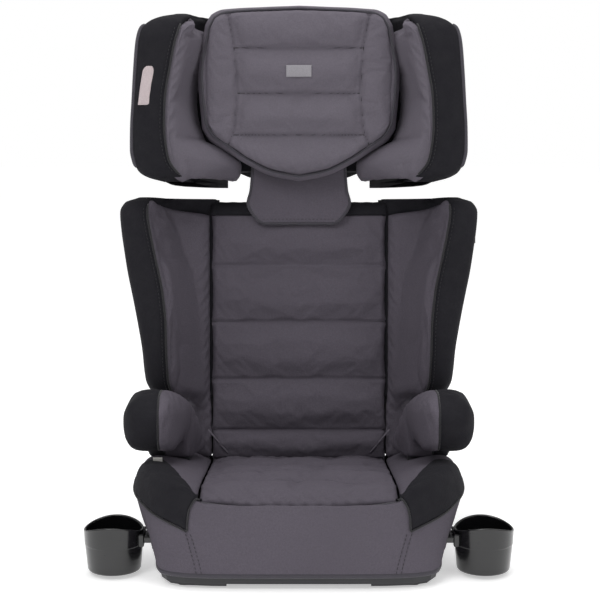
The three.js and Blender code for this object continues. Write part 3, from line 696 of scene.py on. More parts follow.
# Rows up the shoulder wing: height, outer edge, sewn edge of the grey pad, front edge
SHOULDER_ROWS = [
    [106, 190, 166, 104], [116, 199, 169, 124], [135, 207, 173, 139], [175, 210.5, 174.5, 147],
    [205, 215, 175, 149], [250, 224, 179, 149], [300, 233, 189, 149], [335, 238, 196, 148],
    [360, 240, 199.5, 144], [373, 234, 199, 134], [380, 222, 196, 118],
]
# Rows up the head wing, in the same order
HEAD_ROWS = [
    [400, 184, 142, 138], [405, 200, 151, 154], [413, 213, 160, 163], [425, 219, 168, 168],
    [440, 221.5, 171.5, 172], [470, 221, 174.5, 174], [505, 219, 173.5, 174], [545, 217, 167.5, 172],
    [580, 214.5, 161, 169], [598, 211, 156, 165], [611, 200, 152, 158], [619, 186, 148, 146],
    [624, 174, 145, 132],
]


def wing_row(rows, up):
    """Outer edge, sewn edge and front edge of a wing at the given heights."""
    rows = np.array(rows, float)
    return [smooth_steps(rows[:, 0], rows[:, k], up) for k in (1, 2, 3)]


def wing_outline(outer, lip, front, root, face):
    """Control points (across, forward) round a wing's cover at one height, from its rear root."""
    reach = front - 20
    return [
        (root, 6.5), (outer - 58, 7), (outer - 30, 15), (outer - 10, 20 + 0.26 * reach),
        (outer - 1.5, 20 + 0.55 * reach), (outer, 20 + 0.80 * reach), (outer - 3, front - 8),
        (0.72 * outer + 0.28 * lip, front - 0.5), (0.40 * outer + 0.60 * lip, front + 1.5),
        (lip + 5, front - 1.5), (lip - 0.5, front - 10), (lip - 6, face + 0.62 * (front - face)),
        (lip - 16, face + 0.30 * (front - face) - 3), (0.5 * (root + lip) + 2, face - 3),
        (root + 14, face - 10), (root, face - 16),
    ]


def wing_body(name, rows, root, face, rise_top=0.0, rise_low=0.0, levels=64, around=72):
    """The whole wing in its black cover, rounded over at both ends. Its back edge may stand higher."""
    low, high = rows[0][0], rows[-1][0]
    heights = low + (high - low) * (1 - np.cos(np.linspace(0, math.pi, levels))) / 2
    outer, lip, front = wing_row(rows, heights)
    rings = []
    for w, o, l, f in zip(heights, outer, lip, front):
        controls = np.array(wing_outline(o, l, f, root, face))
        controls = np.concatenate([controls, controls[:1]])
        ring = curve_through(controls, np.linspace(0, len(controls) - 1, around, endpoint=False))
        rear = np.clip(1 - ring[:, 1] / 120, 0, 1)
        height = w + rear * rise_top * ease((w - high + 30) / 30)
        height = height + rear * rise_low * ease((low + 30 - w) / 30)
        near_end = min(w - low, high - w)
        tuck = 5.0 * (1 - ease(near_end / 7.0))
        middle = ring.mean(0)
        away = ring - middle
        ring = ring - away / (np.linalg.norm(away, axis=1, keepdims=True) + 1e-9) * tuck
        ring = ring + 0.5 * ripple(ring[:, :1] + ring[:, 1:], w, 7)
        rings.append(on_back(ring[:, 0], ring[:, 1], height))
    return closed_loft(name, np.array(rings))


def wing_patch(name, low, high_inner, high_outer, columns, thickness, crown, crown_width, seed,
               across=44, levels=110):
    """Padding on a wing's inner face, from height low up to a top edge that slopes outwards.

    columns(height) gives its six control points (across, forward).
    """
    share = np.linspace(0, 1, levels)
    slope = ease(np.linspace(0, 1, across))
    grid = np.zeros((across, levels, 3))
    for j, t in enumerate(share):
        for i, top in enumerate(high_inner + slope * (high_outer - high_inner)):
            w = low + t * (top - low)
            x, n = curve_through(columns(w), [i / (across - 1) * 5])[0]
            grid[i, j] = on_back(x, n, w)
    outward = FORWARD - 0.9 * ACROSS
    piece = panel(name, grid, outward, thickness, roll=3, roll_width=7, crown=crown,
                  crown_width=crown_width, seed=seed)
    rim = edge_distance(grid) / MM
    inflate(piece, grid_pins(grid.shape[:2], rim < 4), pressure=1.6, grow=0.03)
    return piece


def shoulder_columns(w):
    """The shoulder pad's inner face. Below the wing it narrows to a strip beside the back panel."""
    _, lip, front = (float(v) for v in wing_row(SHOULDER_ROWS, w))
    span = front - 59
    high = np.array([(122.5, 54), (133, 59.5), (lip - 30, 61 + 0.10 * span), (lip - 12, 59 + 0.50 * span),
                     (lip - 4, 59 + 0.80 * span), (lip + 1, front - 3)])
    low = np.array([(119.5, 47), (125, 53), (136, 53.5), (144, 50), (151, 42), (154, 30)])
    return low + (high - low) * ease((w - 84) / 34)


def lip_path(rows, low, high, forward=0.0, outward=0.0):
    """A line up a wing along its sewn edge."""
    w = np.linspace(low, high, 90)
    _, lip, front = wing_row(rows, w)
    return on_back(lip + 2 + outward, front - 2 + forward, w)


def wing_seams(name, body, rows, piped, stitched):
    """The piping along a wing's sewn edge, and a row of stitches outside it, each from low to high."""
    cord = tube(f"{name}_right_piping", lip_path(rows, *piped), 0.0016)
    seam = stitching(f"{name}_right_stitching", [lip_path(rows, *stitched, 3.3, 5)])
    both_sides(cord, body, [], DARK_TAPE)
    both_sides(seam, body, [], SEAM_THREAD)


def shoulders():
    cover = wing_body("shoulder_right_cover", SHOULDER_ROWS, 112, 59)
    both_sides(cover, "backrest", ["shoulder_cover"], BLACK)
    pad = wing_patch("shoulder_right_pad", 21, 357, 378, shoulder_columns, 12, 3, 26, seed=11)
    both_sides(pad, "backrest", ["shoulder_pad"], GREY)
    wing_seams("shoulder", "backrest", SHOULDER_ROWS, (112, 370), (118, 366))


def corner_straps():
    """A short elastic strap at each lower corner of the back, running down to the seat."""
    t, v = lattice((0, 1, 24), (-1, 1, 10))
    x = 124 - 24 * t + 2.6 * v
    w = 56 - 25 * t + 3.2 * v
    grid = on_back(x, 60.5 + 3 * np.sin(t * math.pi), w)
    piece = panel("strap_right", grid, FORWARD, 2.2, roll=0.6, roll_width=2, pucker=0.05)
    both_sides(piece, "backrest", [], PAD_GREY)


def shoulder_tab():
    """A small woven tab in the seam of the right shoulder's outer edge."""
    t, w = lattice((0, 1, 8), (318, 330, 8))
    grid = on_back(229 + 7 * t, 140 - 6 * t, w)
    piece = panel("shoulder_tab", grid, FORWARD + ACROSS, 1.0, roll=0.2, roll_width=1.5, pucker=0.0)
    declare(piece, "backrest", material=DARK_TAPE)


# ---------------------------------------------------------------- headrest
def head_pad_columns(w):
    """The head pad's inner face. Its lower end reaches inwards under the pillow."""
    _, lip, front = (float(v) for v in wing_row(HEAD_ROWS, w))
    heights = [403, 412, 425, 440, 458, 512, 567, 600, 611]
    inner = float(smooth_steps(heights, [100, 88, 87, 104, 135, 146, 138, 131, 133], w))
    depth = float(smooth_steps([404, 430, 470, 600], [78, 86, 95, 92], w))
    lip = lip - 10 * float(ease((w - 592) / 19))
    front = front - 6 * float(ease((w - 596) / 15))
    middle = (0.5 * (inner + lip) + 3, depth + 0.55 * (front - depth))
    return [(inner - 4, depth - 34), (inner - 2, depth - 16), (inner + 5, depth + 4),
            middle, (lip - 5, front - 14), (lip + 1, front - 3)]


def head_wings():
    cover = wing_body("headwing_right_cover", HEAD_ROWS, 100, 54, rise_top=9, rise_low=22)
    both_sides(cover, "headrest", ["head_cover"], BLACK)
    pad = wing_patch("headwing_right_pad", 403, 609, 611, head_pad_columns, 9, 5, 24, seed=21, levels=84)
    both_sides(pad, "headrest", ["head_pad"], PAD_GREY)
    wing_seams("headwing", "headrest", HEAD_ROWS, (408, 606), (412, 602))
    w = np.linspace(418, 606, 80)
    outer, _, front = wing_row(HEAD_ROWS, w)
    edge = tube("headwing_right_edge", on_back(outer - 2.2, front - 9.5, w), 0.0030)
    both_sides(edge, "headrest", [], EDGE_TAPE)


def head_back():
    """The pad behind the pillow."""
    x, w = lattice((-98, 98, 40), (419, 617, 44))
    grid = on_back(x, 49 + 0.6 * ripple(x, w, 9), w)
    piece = panel("head_back_cushion", grid, FORWARD, 36, roll=8, roll_width=18, crown=3, seed=8)
    declare(piece, "headrest", ["head_back_pad"], BLACK)


PILLOW_SEAMS = (398, 464, 520, 581, 642)  # heights of the pillow's sewn channels, up the back
PILLOW_FACE = 106.5  # how far forward the pillow's edge stands


def pillow_outline(u, v, inset=0.0):
    """Across and height of the head pillow's front at (u, v), each 0 to 1 from the lower left corner."""
    side = 2 * u - 1
    far = np.abs(side)
    low = smooth_steps([0, 0.28, 0.54, 0.76, 0.93, 1], [403, 410, 426, 444, 459, 474], far)
    high = smooth_steps([0, 0.8, 0.93, 1], [640, 635, 628, 613], far)
    half = smooth_steps([0, 0.5, 1], [131, 136.5, 127], v) - inset
    return side * half, (low + inset) + v * (high - low - 2 * inset)


def leaf_seam(w):
    """Where the pillow's leaf-shaped side panels are sewn on, out from its middle."""
    return smooth_steps([450, 476, 523, 577, 626], [95, 87, 84, 87, 95], w)


def pillow_rise(x, w):
    """How far the pillow's channels and side panels swell out of its face."""
    rise = channel_crown(w, PILLOW_SEAMS, 8.5, 2.2)
    for seam in PILLOW_SEAMS[1:-1]:
        rise += groove(w - seam, 1.8, 3.4)
    away = np.abs(x) - leaf_seam(w)
    middle = rise * (1 - 0.7 * np.exp(-((away / 12) ** 2)))
    leaf = 4.5 * np.sin(np.clip(away / 42, 0, 1) * math.pi) ** 0.7
    return np.where(away < 0, middle, leaf) + groove(away, 1.8, 3.0)


def pillow():
    """The head pillow: its face, its gathered side, its piping and its seams."""
    u, v = lattice((0, 1, 116), (0, 1, 100))
    x, w = pillow_outline(u, v, 6.5)
    grid = on_back(x, pillow_face_at(x, w), w)
    front = panel("pillow_front", grid, FORWARD, 22, roll=3.5, roll_width=9, seed=31)
    rim = edge_distance(grid) / MM
    away = np.abs(x) - leaf_seam(w)
    held = (rim < 3.5) | (near(w, PILLOW_SEAMS[1:-1], 2.0) & (away < 0)) | (np.abs(away) < 2.0)
    inflate(front, grid_pins(grid.shape[:2], held), pressure=2.0, grow=0.012)
    declare(front, "headrest", ["head_pillow"], PAD_GREY)

    points = 60  # on each of the four sides
    turn = np.linspace(0, 1, points, endpoint=False)
    zero, one = np.zeros(points), np.ones(points)
    round_u = np.concatenate([turn, one, 1 - turn, zero])
    round_v = np.concatenate([zero, turn, one, 1 - turn])
    rings = []
    for forward, inset in ((73, 12), (76, 5), (83, 1), (91, -0.5), (99, 1), (105, 5), (107, 9)):
        rx, rw = pillow_outline(round_u, round_v, inset)
        wrinkle = 0.5 * np.sin(np.arange(4 * points) * 0.55 + forward * 0.1)
        rings.append(on_back(rx, forward + wrinkle, rw))
    rings = curve_through(np.array(rings), np.linspace(0, len(rings) - 1, 31))
    gusset = closed_loft("pillow_gusset", rings)
    declare(gusset, "headrest", material=PAD_GREY)

    rx, rw = pillow_outline(round_u, round_v, 5.5)
    piping = tube("pillow_piping", on_back(rx, PILLOW_FACE, rw), 0.0019, closed=True)
    declare(piping, "headrest", material=EDGE_TAPE)

    lines = []
    run = np.linspace(0.0, 1.0, 120)
    for seam in PILLOW_SEAMS[1:-1]:
        sw = np.full(120, seam)
        sx = (2 * run - 1) * (leaf_seam(sw) - 1)
        lines.append(on_back(sx, pillow_face_at(sx, sw) - 0.1, sw))
    for side in (-1, 1):
        sw = 448 + 174 * run
        lines.append(on_back(side * leaf_seam(sw), pillow_face_at(leaf_seam(sw), sw) - 0.1, sw))
    # Dark cords in the pillow's grooves and along its leaf seams: painted shade over the seams.
    seam_shade_cords("pillow_seam_shade", lines, "headrest")
    pillow_label()


def pillow_face_at(x, w):
    """How far forward the pillow's face stands."""
    over, along = np.clip(np.abs(x / 130), 0, 1), np.clip(np.abs((w - 520) / 120), 0, 1)
    dome = 8.0 * (1 - over**2.4) * (1 - along**4)
    return PILLOW_FACE + dome + pillow_rise(x, w) + 0.5 * ripple(x, w, 6)


def pillow_label():
    """A small plain woven label. It stands further out where the pillow has been swollen."""
    x, w = lattice((-17, 17, 26), (540, 556, 14))
    grid = on_back(x, pillow_face_at(x, w) + (4.0), w)
    piece = panel("pillow_label", grid, FORWARD, 2.5, roll=0.5, roll_width=2, pucker=0.05)
    declare(piece, "headrest", material=GREY_LABEL)


def neck_flap():
    """The flap that hangs from behind the pillow over the top of the back."""
    t, w = lattice((-1, 1, 60), (346, 426, 44))
    half = smooth_steps([346, 352, 374, 391, 426], [49, 58, 70, 66, 63], w)
    x = t * half
    n = 69.5 + 0.8 * ripple(x, w, 12)
    grid = on_back(x, n, w)
    piece = panel("neck_flap_cloth", grid, FORWARD, 4.5, roll=1.5, roll_width=4, crown=1, seed=14)
    declare(piece, "headrest", ["neck_flap"], GREY)
    edge = np.concatenate([grid[0, ::-1], grid[:, 0], grid[-1]])
    cord = tube("neck_flap_piping", edge - FORWARD * 0.0012, 0.0021)
    declare(cord, "headrest", material=EDGE_TAPE)
    inner = grid[4:-4, 3] + FORWARD * 0.0003
    declare(stitching("neck_flap_stitching", [inner]), "headrest", material=SEAM_THREAD)


def wing_label():
    """A blank sewn patch with a rounded top on the left head wing."""
    t, w = lattice((-1, 1, 18), (498, 549, 34))
    outer, lip, front = wing_row(HEAD_ROWS, w)
    half = 7.6 * np.sqrt(np.clip(1 - np.clip((w - 541) / 9, 0, 1) ** 2, 0.03, 1))
    x = -(0.60 * outer + 0.40 * lip - 0.05 * (w - 525) + t * half)
    grid = on_back(x, front + 2.0 - 0.5 * t * t, w)
    piece = panel("wing_label", grid, FORWARD, 2.2, roll=0.5, roll_width=2, pucker=0.05)
    declare(piece, "headrest", material=BLANK_LABEL)


# ---------------------------------------------------------------- seat
# Right half of the seat's plan, from the front centre to the end of the cushion: at its widest, and
# the same points at its foot, where the front corners are squarer
SEAT_PLAN = [
    (0, -215), (60, -214.5), (105, -211), (140, -202), (170, -184), (192, -156), (204, -122),
    (207, -80), (207, -20), (203, 40), (196, 100), (194, 116),
]
SEAT_FOOT = [
    (0, -211), (60, -211), (105, -210), (140, -206), (163, -196), (172, -180), (175, -150),
    (175, -100), (175, -20), (172, 40), (168, 100), (166.5, 116),
]
WIDEST_Z = 95
# Height, and how far from the foot's plan to the widest one
SEAT_LEVELS = [(HEM_Z, 0.04), (47, 0.4), (70, 0.73), (WIDEST_Z, 1.0)]
# The seat's surface along its middle: how far back, and height
SEAT_TOP = [
    (-216, 101), (-208, 105.5), (-192, 112), (-165, 116.5), (-120, 113.5), (-60, 105.5), (20, 94.5),
    (92, 85.5), (117, 83.5),
]
SEAT_SEAMS = (-138, -58, -6, 72)


def seat_height(y):
    knots, heights = np.array(SEAT_TOP, float).T
    return smooth_steps(knots, heights, y)


def front_seam(x):
    """Where the seat cushion's front edge is sewn, from its middle out to its corners."""
    return -208.5 + 11.5 * (np.abs(x) / PAD_HALF) ** 2.6


def whole_outline(half, count=900):
    """A dense path round both sides from points of the right half."""
    right = np.array(half, float)
    controls = np.concatenate([right[:0:-1] * (-1, 1), right])
    return curve_through(controls, np.linspace(0, len(controls) - 1, count))


PLAN_POINTS, FOOT_POINTS = whole_outline(SEAT_PLAN), whole_outline(SEAT_FOOT)
PLAN_LENGTH = np.concatenate([[0], np.cumsum(np.linalg.norm(np.diff(PLAN_POINTS, axis=0), axis=1))])
PLAN_LENGTH -= PLAN_LENGTH[-1] / 2
PLAN_END = PLAN_LENGTH[-1]


def plan_at(s, share=1.0):
    """The plan at distance s round it, from its foot (share 0) to its widest (share 1)."""
    points = FOOT_POINTS + share * (PLAN_POINTS - FOOT_POINTS)
    return np.stack([np.interp(s, PLAN_LENGTH, points[:, k]) for k in (0, 1)], -1)


def plan_place(x=None, y=None, share=1.0):
    """Distance round the plan from the front centre to where its right side passes x or y."""
    right = PLAN_LENGTH >= 0
    points = FOOT_POINTS + share * (PLAN_POINTS - FOOT_POINTS)
    if x is not None:
        front = right & (points[:, 1] < -150)
        return float(np.interp(x, points[front, 0], PLAN_LENGTH[front]))
    return float(np.interp(y, points[right, 1], PLAN_LENGTH[right]))


def seat_profile(s):
    """Control points of the cover from its hem over the bolster to the cushion's seam, at s."""
    outline = plan_at(s)
    x, y = outline[:, 0], outline[:, 1]
    side = ease((np.abs(x) - 112) / 34)
    crest = seat_height(np.maximum(y, -206)) + side * (SEAT_RISE + 3 * ease((y + 190) / 60))
    inner_y = np.maximum(y, front_seam(np.clip(x, -121, 121)))
    inner = np.stack([np.clip(x, -PAD_HALF, PAD_HALF), inner_y], -1)
    inner_z = seat_height(inner[:, 1]) - 1.5
    controls = []
    for z, share in SEAT_LEVELS:
        level = plan_at(s, share)
        controls.append(np.concatenate([level, np.full((len(level), 1), float(z))], 1))
    # share of the way to the cushion, then share of the height lost, then width
    over = ((0.0, 0.52, 0.993), (0.06, 0.13, 0.985), (0.28, 0.0, 1.0), (0.66, 0.35, 1.0), (1.0, 1.0, 1.0))
    for share, drop, wide in over:
        flat = outline * (1 - share) + inner * share
        flat = flat * np.array([wide, 1.0])
        if share < 0.2:
            height = WIDEST_Z + (crest - WIDEST_Z) * (1 - drop)
        else:
            height = crest + (inner_z - crest) * drop
        controls.append(np.concatenate([flat, height[:, None]], 1))
    return np.array(controls)


SEAT_STATIONS = np.linspace(-PLAN_END, PLAN_END, 420)
SEAT_STEPS = np.linspace(0, 8, 80)


def front_stitch_line(z):
    """Distance round the plan of the seam from the hem up to the tip of the black corner panel."""
    low, high = plan_place(x=120.5, share=0.04), plan_place(x=134.5, share=0.75)
    return low + (high - low) * np.clip((z - HEM_Z) / 55, 0, 1) ** 1.3


def seat_surface():
    """The cover as a grid of points in mm: round the plan by up the profile."""
    grid = curve_through(seat_profile(SEAT_STATIONS), SEAT_STEPS).transpose(1, 0, 2)
    normal = grid_normals(grid, (0, -1, 0.3))
    s = SEAT_STATIONS[:, None]
    z = grid[..., 2]
    swell = 1.4 * ripple(s, z, 15)
    wall = np.clip((z - HEM_Z) / 60, 0, 1)
    for line in (-1, 1):
        sewn = line * front_stitch_line(z)
        depth = 1.6 * (z < 74) * (SEAT_STEPS[None, :] < 5)
        swell -= depth * np.exp(-(((s - sewn) / 2.0) ** 2))
    swell += 0.8 * np.exp(-(z - HEM_Z) / 14) * np.sin(s / 9 + ripple(s, z, 16) * 3)
    swell *= ease(SEAT_STEPS)[None, :] * (0.4 + 0.6 * wall)
    return grid + normal * swell[..., None]


SEAT_GRID = seat_surface()


def on_seat(s, step):
    """Points of the cover's grid, in mm, at distances round the plan and steps up the profile."""
    i = np.clip(np.interp(s, SEAT_STATIONS, np.arange(len(SEAT_STATIONS))), 0, len(SEAT_STATIONS) - 1.001)
    j = np.clip(np.interp(step, SEAT_STEPS, np.arange(len(SEAT_STEPS))), 0, len(SEAT_STEPS) - 1.001)
    low_i, low_j = i.astype(int), j.astype(int)
    a, b = (i - low_i)[..., None], (j - low_j)[..., None]
    return (
        SEAT_GRID[low_i, low_j] * (1 - a) * (1 - b) + SEAT_GRID[low_i + 1, low_j] * a * (1 - b)
        + SEAT_GRID[low_i, low_j + 1] * (1 - a) * b + SEAT_GRID[low_i + 1, low_j + 1] * a * b
    )


def wall_step(s, z):
    """Step up the profile where the cover's wall reaches a height."""
    steps = SEAT_STEPS[SEAT_STEPS <= 6]
    heights = on_seat(np.full_like(steps, s), steps)[:, 2]
    return float(np.interp(z, heights, steps))


def seat_cover():
    """The seat's cover with its hem and front seams."""
    piece = panel("seat_side_cover", SEAT_GRID * MM, (0, -1, 0.3), 5, roll=2.5, roll_width=6, sides="V",
                  seed=41)
    declare(piece, "base", ["seat_cover", "seat_foam"], GREY)
    rear_cover()
    hem = on_seat(*lattice((-PLAN_END, PLAN_END, 300), (0, 0.24, 5)))
    hem = (hem + grid_normals(hem, (0, -1, 0)) - (0, 0, 1.2)) * MM
    band = panel("seat_hem", hem, (0, -1, 0), 2.4, roll=0.8, roll_width=2.5, pucker=0.1)
    declare(band, "base", material=EDGE_TAPE)
    lines = []
    for side in (-1, 1):
        z = np.linspace(HEM_Z + 4, 71, 40)
        for offset in (-3.2, 3.2):
            s = side * front_stitch_line(z) + offset
            steps = np.array([wall_step(a, b) for a, b in zip(s, z)])
            lines.append((on_seat(s, steps) + (0, -0.3, 0)) * MM)
    declare(stitching("seat_front_stitching", lines), "base", material=SEAM_THREAD)


def rear_cover():
    """The cover's rear wall, behind the cushion."""
    x, t = lattice((-1, 1, 60), (0, 1, 14))
    ends = on_seat(np.full(14, PLAN_END), np.linspace(0.8, 6.0, 14))
    top = seat_height(117) + SEAT_RISE * ease((np.abs(x * 190) - 112) / 34)
    z = 46 + t * (top - 48)
    half = np.interp(z, ends[:, 2], ends[:, 0]) - 3
    grid = np.stack([x * half, np.full_like(x, 114.5), z], -1)
    piece = panel("seat_rear_cover", grid * MM, (0, 1, 0), 5, roll=2, roll_width=6, seed=42)
    declare(piece, "base", material=BLACK)


def corner_panel():
    """The black cloth let into the seat's front corner, a little proud of the cover round it."""
    a, v = lattice((0, 1, 60), (0, 1, 40))
    low_start, low_end = plan_place(x=134.5, share=0.75), plan_place(y=-84)
    high_start, high_end = plan_place(x=121.5), plan_place(y=-52)
    low_s, high_s = low_start + a * (low_end - low_start), high_start + a * (high_end - high_start)
    s = low_s * (1 - v) + high_s * v
    low_z = 72 + 36 * a ** 0.8
    low_step = np.array([wall_step(p, q) for p, q in zip(s.ravel(), low_z.ravel())]).reshape(s.shape)
    high_step = smooth_steps([0, 0.25, 0.6, 1], [7.85, 7.45, 6.9, 6.3], a)
    points = on_seat(s, low_step + v * (high_step - low_step))
    out = grid_normals(points, (0.5, -1, 0.3))
    grid = (points + out * 1.8) * MM
    piece = panel("corner_right_panel", grid, (0.5, -1, 0.3), 3.5, roll=1.6, roll_width=4, pucker=0.2,
                  seed=44)
    both_sides(piece, "base", [], BLACK)
    edge = np.concatenate([grid[::-1, 0], grid[0, :]])
    cord = tube("corner_right_piping", even_path(edge, 0.004), 0.0012)
    both_sides(cord, "base", [], DARK_TAPE)


def seat_cushion_face(x, y):
    """Height of the channelled seat cushion, which rises a little towards its rear."""
    fade = 1 - np.abs(x / PAD_HALF) ** 8
    seams = (-210, *SEAT_SEAMS, 117)
    rise = channel_crown(y, seams, 8.0, 2.2) * fade
    for seam in SEAT_SEAMS:
        rise += groove(y - seam, 2.2, 4.0)
    rise += 5.0 * ease((y - 84) / 30)
    return seat_height(y) - 2.0 + rise + 0.6 * ripple(x, y, 51)


def seat_cushion():
    u, v = lattice((-1, 1, 98), (0, 1, 132))
    x = u * PAD_HALF
    y = front_seam(x) + v * (116 - front_seam(x))
    grid = np.stack([x, y, seat_cushion_face(x, y)], -1) * MM
    piece = panel("seat_cushion", grid, (0, 0, 1), 10, roll=3, roll_width=8, seed=52)
    rim = edge_distance(grid) / MM
    held = (rim < 3) | near(y, SEAT_SEAMS, 2.4)
    inflate(piece, grid_pins(x.shape, held), pressure=1.6, grow=0.03)
    declare(piece, "base", ["seat_pad"], GREY)
    run = np.linspace(-PAD_HALF + 3, PAD_HALF - 3, 60)
    lines = [np.stack([run, np.full(60, seam), seat_cushion_face(run, seam) + 0.5], -1) * MM
             for seam in np.array(SEAT_SEAMS, float)]
    # Dark cords in the seat's grooves: painted shade over the seams.
    seam_shade_cords("seat_seam_shade", lines, "base")
    run = np.linspace(-PAD_HALF, PAD_HALF, 70)
    y = front_seam(run) - 0.8
    cord = tube("seat_front_piping", np.stack([run, y, seat_height(y) - 3.6], -1) * MM, 0.0017)
    declare(cord, "base", material=EDGE_TAPE)


def seat_side_label():
    """A small white tag on the crest of the seat's left side, below the armrest."""
    x, t = lattice((-6, 6, 8), (0, 1, 8))
    grid = np.stack([-180 + x, -86 - 3 * t, 125 + 9 * t], -1)
    piece = panel("seat_tag", grid * MM, (0, -1, 0), 0.8, roll=0.1, roll_width=1, pucker=0.0)
    declare(piece, "base", material=WHITE_TAPE)


# ---------------------------------------------------------------- armrests
ARM_SEAM = 178.0  # black cover outside this, grey panel inside it
ARM_FOOT = 104.5  # height where the armrests go into the seat


def joined_copy(name, nodes):
    """One new mesh from copies of CAD nodes' meshes."""
    mesh = bpy.data.meshes.new(name)
    with reshaping(mesh) as shape:
        for node in nodes:
            shape.from_mesh(frame["nodes"][node].data)
    return placed(name, mesh)


def applied(piece):
    """Bakes a piece's modifiers into its mesh."""
    solid = piece.evaluated_get(bpy.context.evaluated_depsgraph_get())
    mesh = bpy.data.meshes.new_from_object(solid)
    piece.modifiers.clear()
    piece.data = mesh
    mesh.polygons.foreach_set("use_smooth", [True] * len(mesh.polygons))


def remesh(piece, voxel, smoothing):
    """Turns a piece into one even, relaxed surface."""
    modifier = piece.modifiers.new("Even", "REMESH")
    modifier.mode = "VOXEL"
    modifier.voxel_size = voxel
    relax = piece.modifiers.new("Relax", "SMOOTH")
    relax.iterations = smoothing
    relax.factor = 0.5
    applied(piece)


def half_beyond(source, name, keep_outer):
    """The part of a right-hand piece outside the armrest's seam, or inside it, and the seam's path."""
    made = duplicate(source, name)
    with reshaping(made.data) as shape:
        path = cut_closed(shape, (ARM_SEAM * MM, 0, 0), (1, 0, 0), keep_outer, not keep_outer)
    return made, path


def cut_closed(shape, place, normal, clear_inner, clear_outer):
    """Cuts a bmesh with a plane, closes the cut, and gives the cut's longest loop of points."""
    everything = shape.verts[:] + shape.edges[:] + shape.faces[:]
    bmesh.ops.bisect_plane(shape, geom=everything, plane_co=place, plane_no=normal,
                           clear_inner=clear_inner, clear_outer=clear_outer)
    rim = [edge for edge in shape.edges if edge.is_boundary]
    path = ordered_loop(rim)
    bmesh.ops.holes_fill(shape, edges=rim)
    return path


def ordered_loop(edges):
    """The points of the longest closed run of edges, in order."""
    links = {}
    for edge in edges:
        for one, other in (edge.verts, reversed(edge.verts)):
            links.setdefault(one, []).append(other)
    best = []
    left = set(links)
    while left:
        start = min(left, key=lambda v: tuple(v.co))
        run, here = [start], start
        left.discard(start)
        while True:
            onward = [v for v in links[here] if v in left]
            if not onward:
                break
            here = onward[0]
            left.discard(here)
            run.append(here)
        if len(run) > len(best):
            best = run
    return np.array([list(v.co) for v in best])


def armrests():
    """The padded armrests: the CAD shapes joined, evened out, swollen, and cut apart at the seam."""
    nodes = [f"armrest_{part}_right" for part in ("cover", "inner", "core")]
    whole = joined_copy("armrest_whole", nodes)
    with reshaping(whole.data) as shape:
        cut_closed(shape, (0, 0, ARM_FOOT * MM), (0, 0, 1), True, False)
    remesh(whole, 0.0036, 14)
    points = read_points(whole.data)
    held = np.nonzero((points[:, 2] < 0.118) | (np.abs(points[:, 0] - ARM_SEAM * MM) < 0.0022))[0]
    inflate(whole, held, pressure=3.0, grow=0.015, cap=5)
    normals = np.zeros(len(points) * 3)
    whole.data.vertices.foreach_get("normal", normals)
    points = read_points(whole.data)
    seam = np.exp(-(((points[:, 0] / MM - ARM_SEAM) / 3.0) ** 2))[:, None]
    write_points(whole.data, points - normals.reshape(-1, 3) * seam * 0.0012)
    outer, path = half_beyond(whole, "armrest_right_cover", True)
    inner, _ = half_beyond(whole, "armrest_right_inner", False)
    bpy.data.objects.remove(whole)
    loop = smooth_loop(path)
    piping = tube("armrest_right_piping", loop, 0.0016, closed=True)
    both_sides(outer, "base", ["armrest_cover"], BLACK)
    both_sides(inner, "base", ["armrest_inner"], GREY)
    both_sides(piping, "base", [], DARK_TAPE)


def smooth_loop(path, step=0.004, passes=3):
    """A closed path with even, smoothed points."""
    closed = even_path(np.concatenate([path, path[:1]]), step)[:-1]
    for _ in range(passes):
        closed = (np.roll(closed, 1, 0) + 2 * closed + np.roll(closed, -1, 0)) / 4
    return closed


# ---------------------------------------------------------------- cup holders
def cup_rim(turn):
    """Rim height round the cup: lowest at its sides, and raised at its front and back."""
    return 57 + np.where(np.sin(turn) < 0, 10.0, 7.0) * np.sin(turn) ** 2


def cup_holder():
    """The moulded cup, as one wall from the outside of its floor over its rim to the inside."""
    cx, cy = CUP_CENTRE
    points = 112
    turn = np.arange(points) * 2 * math.pi / points
    rim = cup_rim(turn)
    r = CUP_RADIUS
    profile = [  # radius, height, and 1 where the height is counted from the rim instead of the ground
        (0.5, 5.0, 0), (r * 0.55, 5.0, 0), (r * 0.82, 5.2, 0), (r * 0.86, 5.9, 0), (r * 0.885, 7.5, 0),
        (r * 0.90, 12, 0), (r * 0.925, 22, 0), (r * 0.95, 32, 0), (r * 0.965, 38.0, 0),
        (r * 0.967, 38.6, 0), (r * 0.974, 39.4, 0), (r * 0.978, 41, 0), (r * 0.99, -6, 1),
        (r * 0.996, -2.4, 1), (r * 0.999, -1.0, 1), (r * 0.985, -0.15, 1), (r * 0.96, 0.0, 1),
        (r * 0.938, -0.35, 1), (r * 0.925, -1.4, 1), (r * 0.92, -3, 1), (r * 0.90, 38, 0),
        (r * 0.86, 18, 0), (r * 0.835, 10.5, 0), (r * 0.80, 8.3, 0), (r * 0.72, 7.6, 0),
        (r * 0.4, 7.4, 0), (0.5, 7.4, 0),
    ]
    rings = []
    for radius, height, from_rim in profile:
        z = rim + height if from_rim else np.full_like(rim, height)
        rings.append(np.stack([cx + radius * np.cos(turn), cy + radius * np.sin(turn), z], -1) * MM)
    rings = curve_through(np.array(rings), np.linspace(0, len(rings) - 1, 105))
    cup = closed_loft("cup_right", rings)
    bracket = cup_bracket()
    both_sides(cup, "cup_holder_right", ["cup_holder"], GLOSS)
    both_sides(bracket, "cup_holder_right", [], GLOSS)


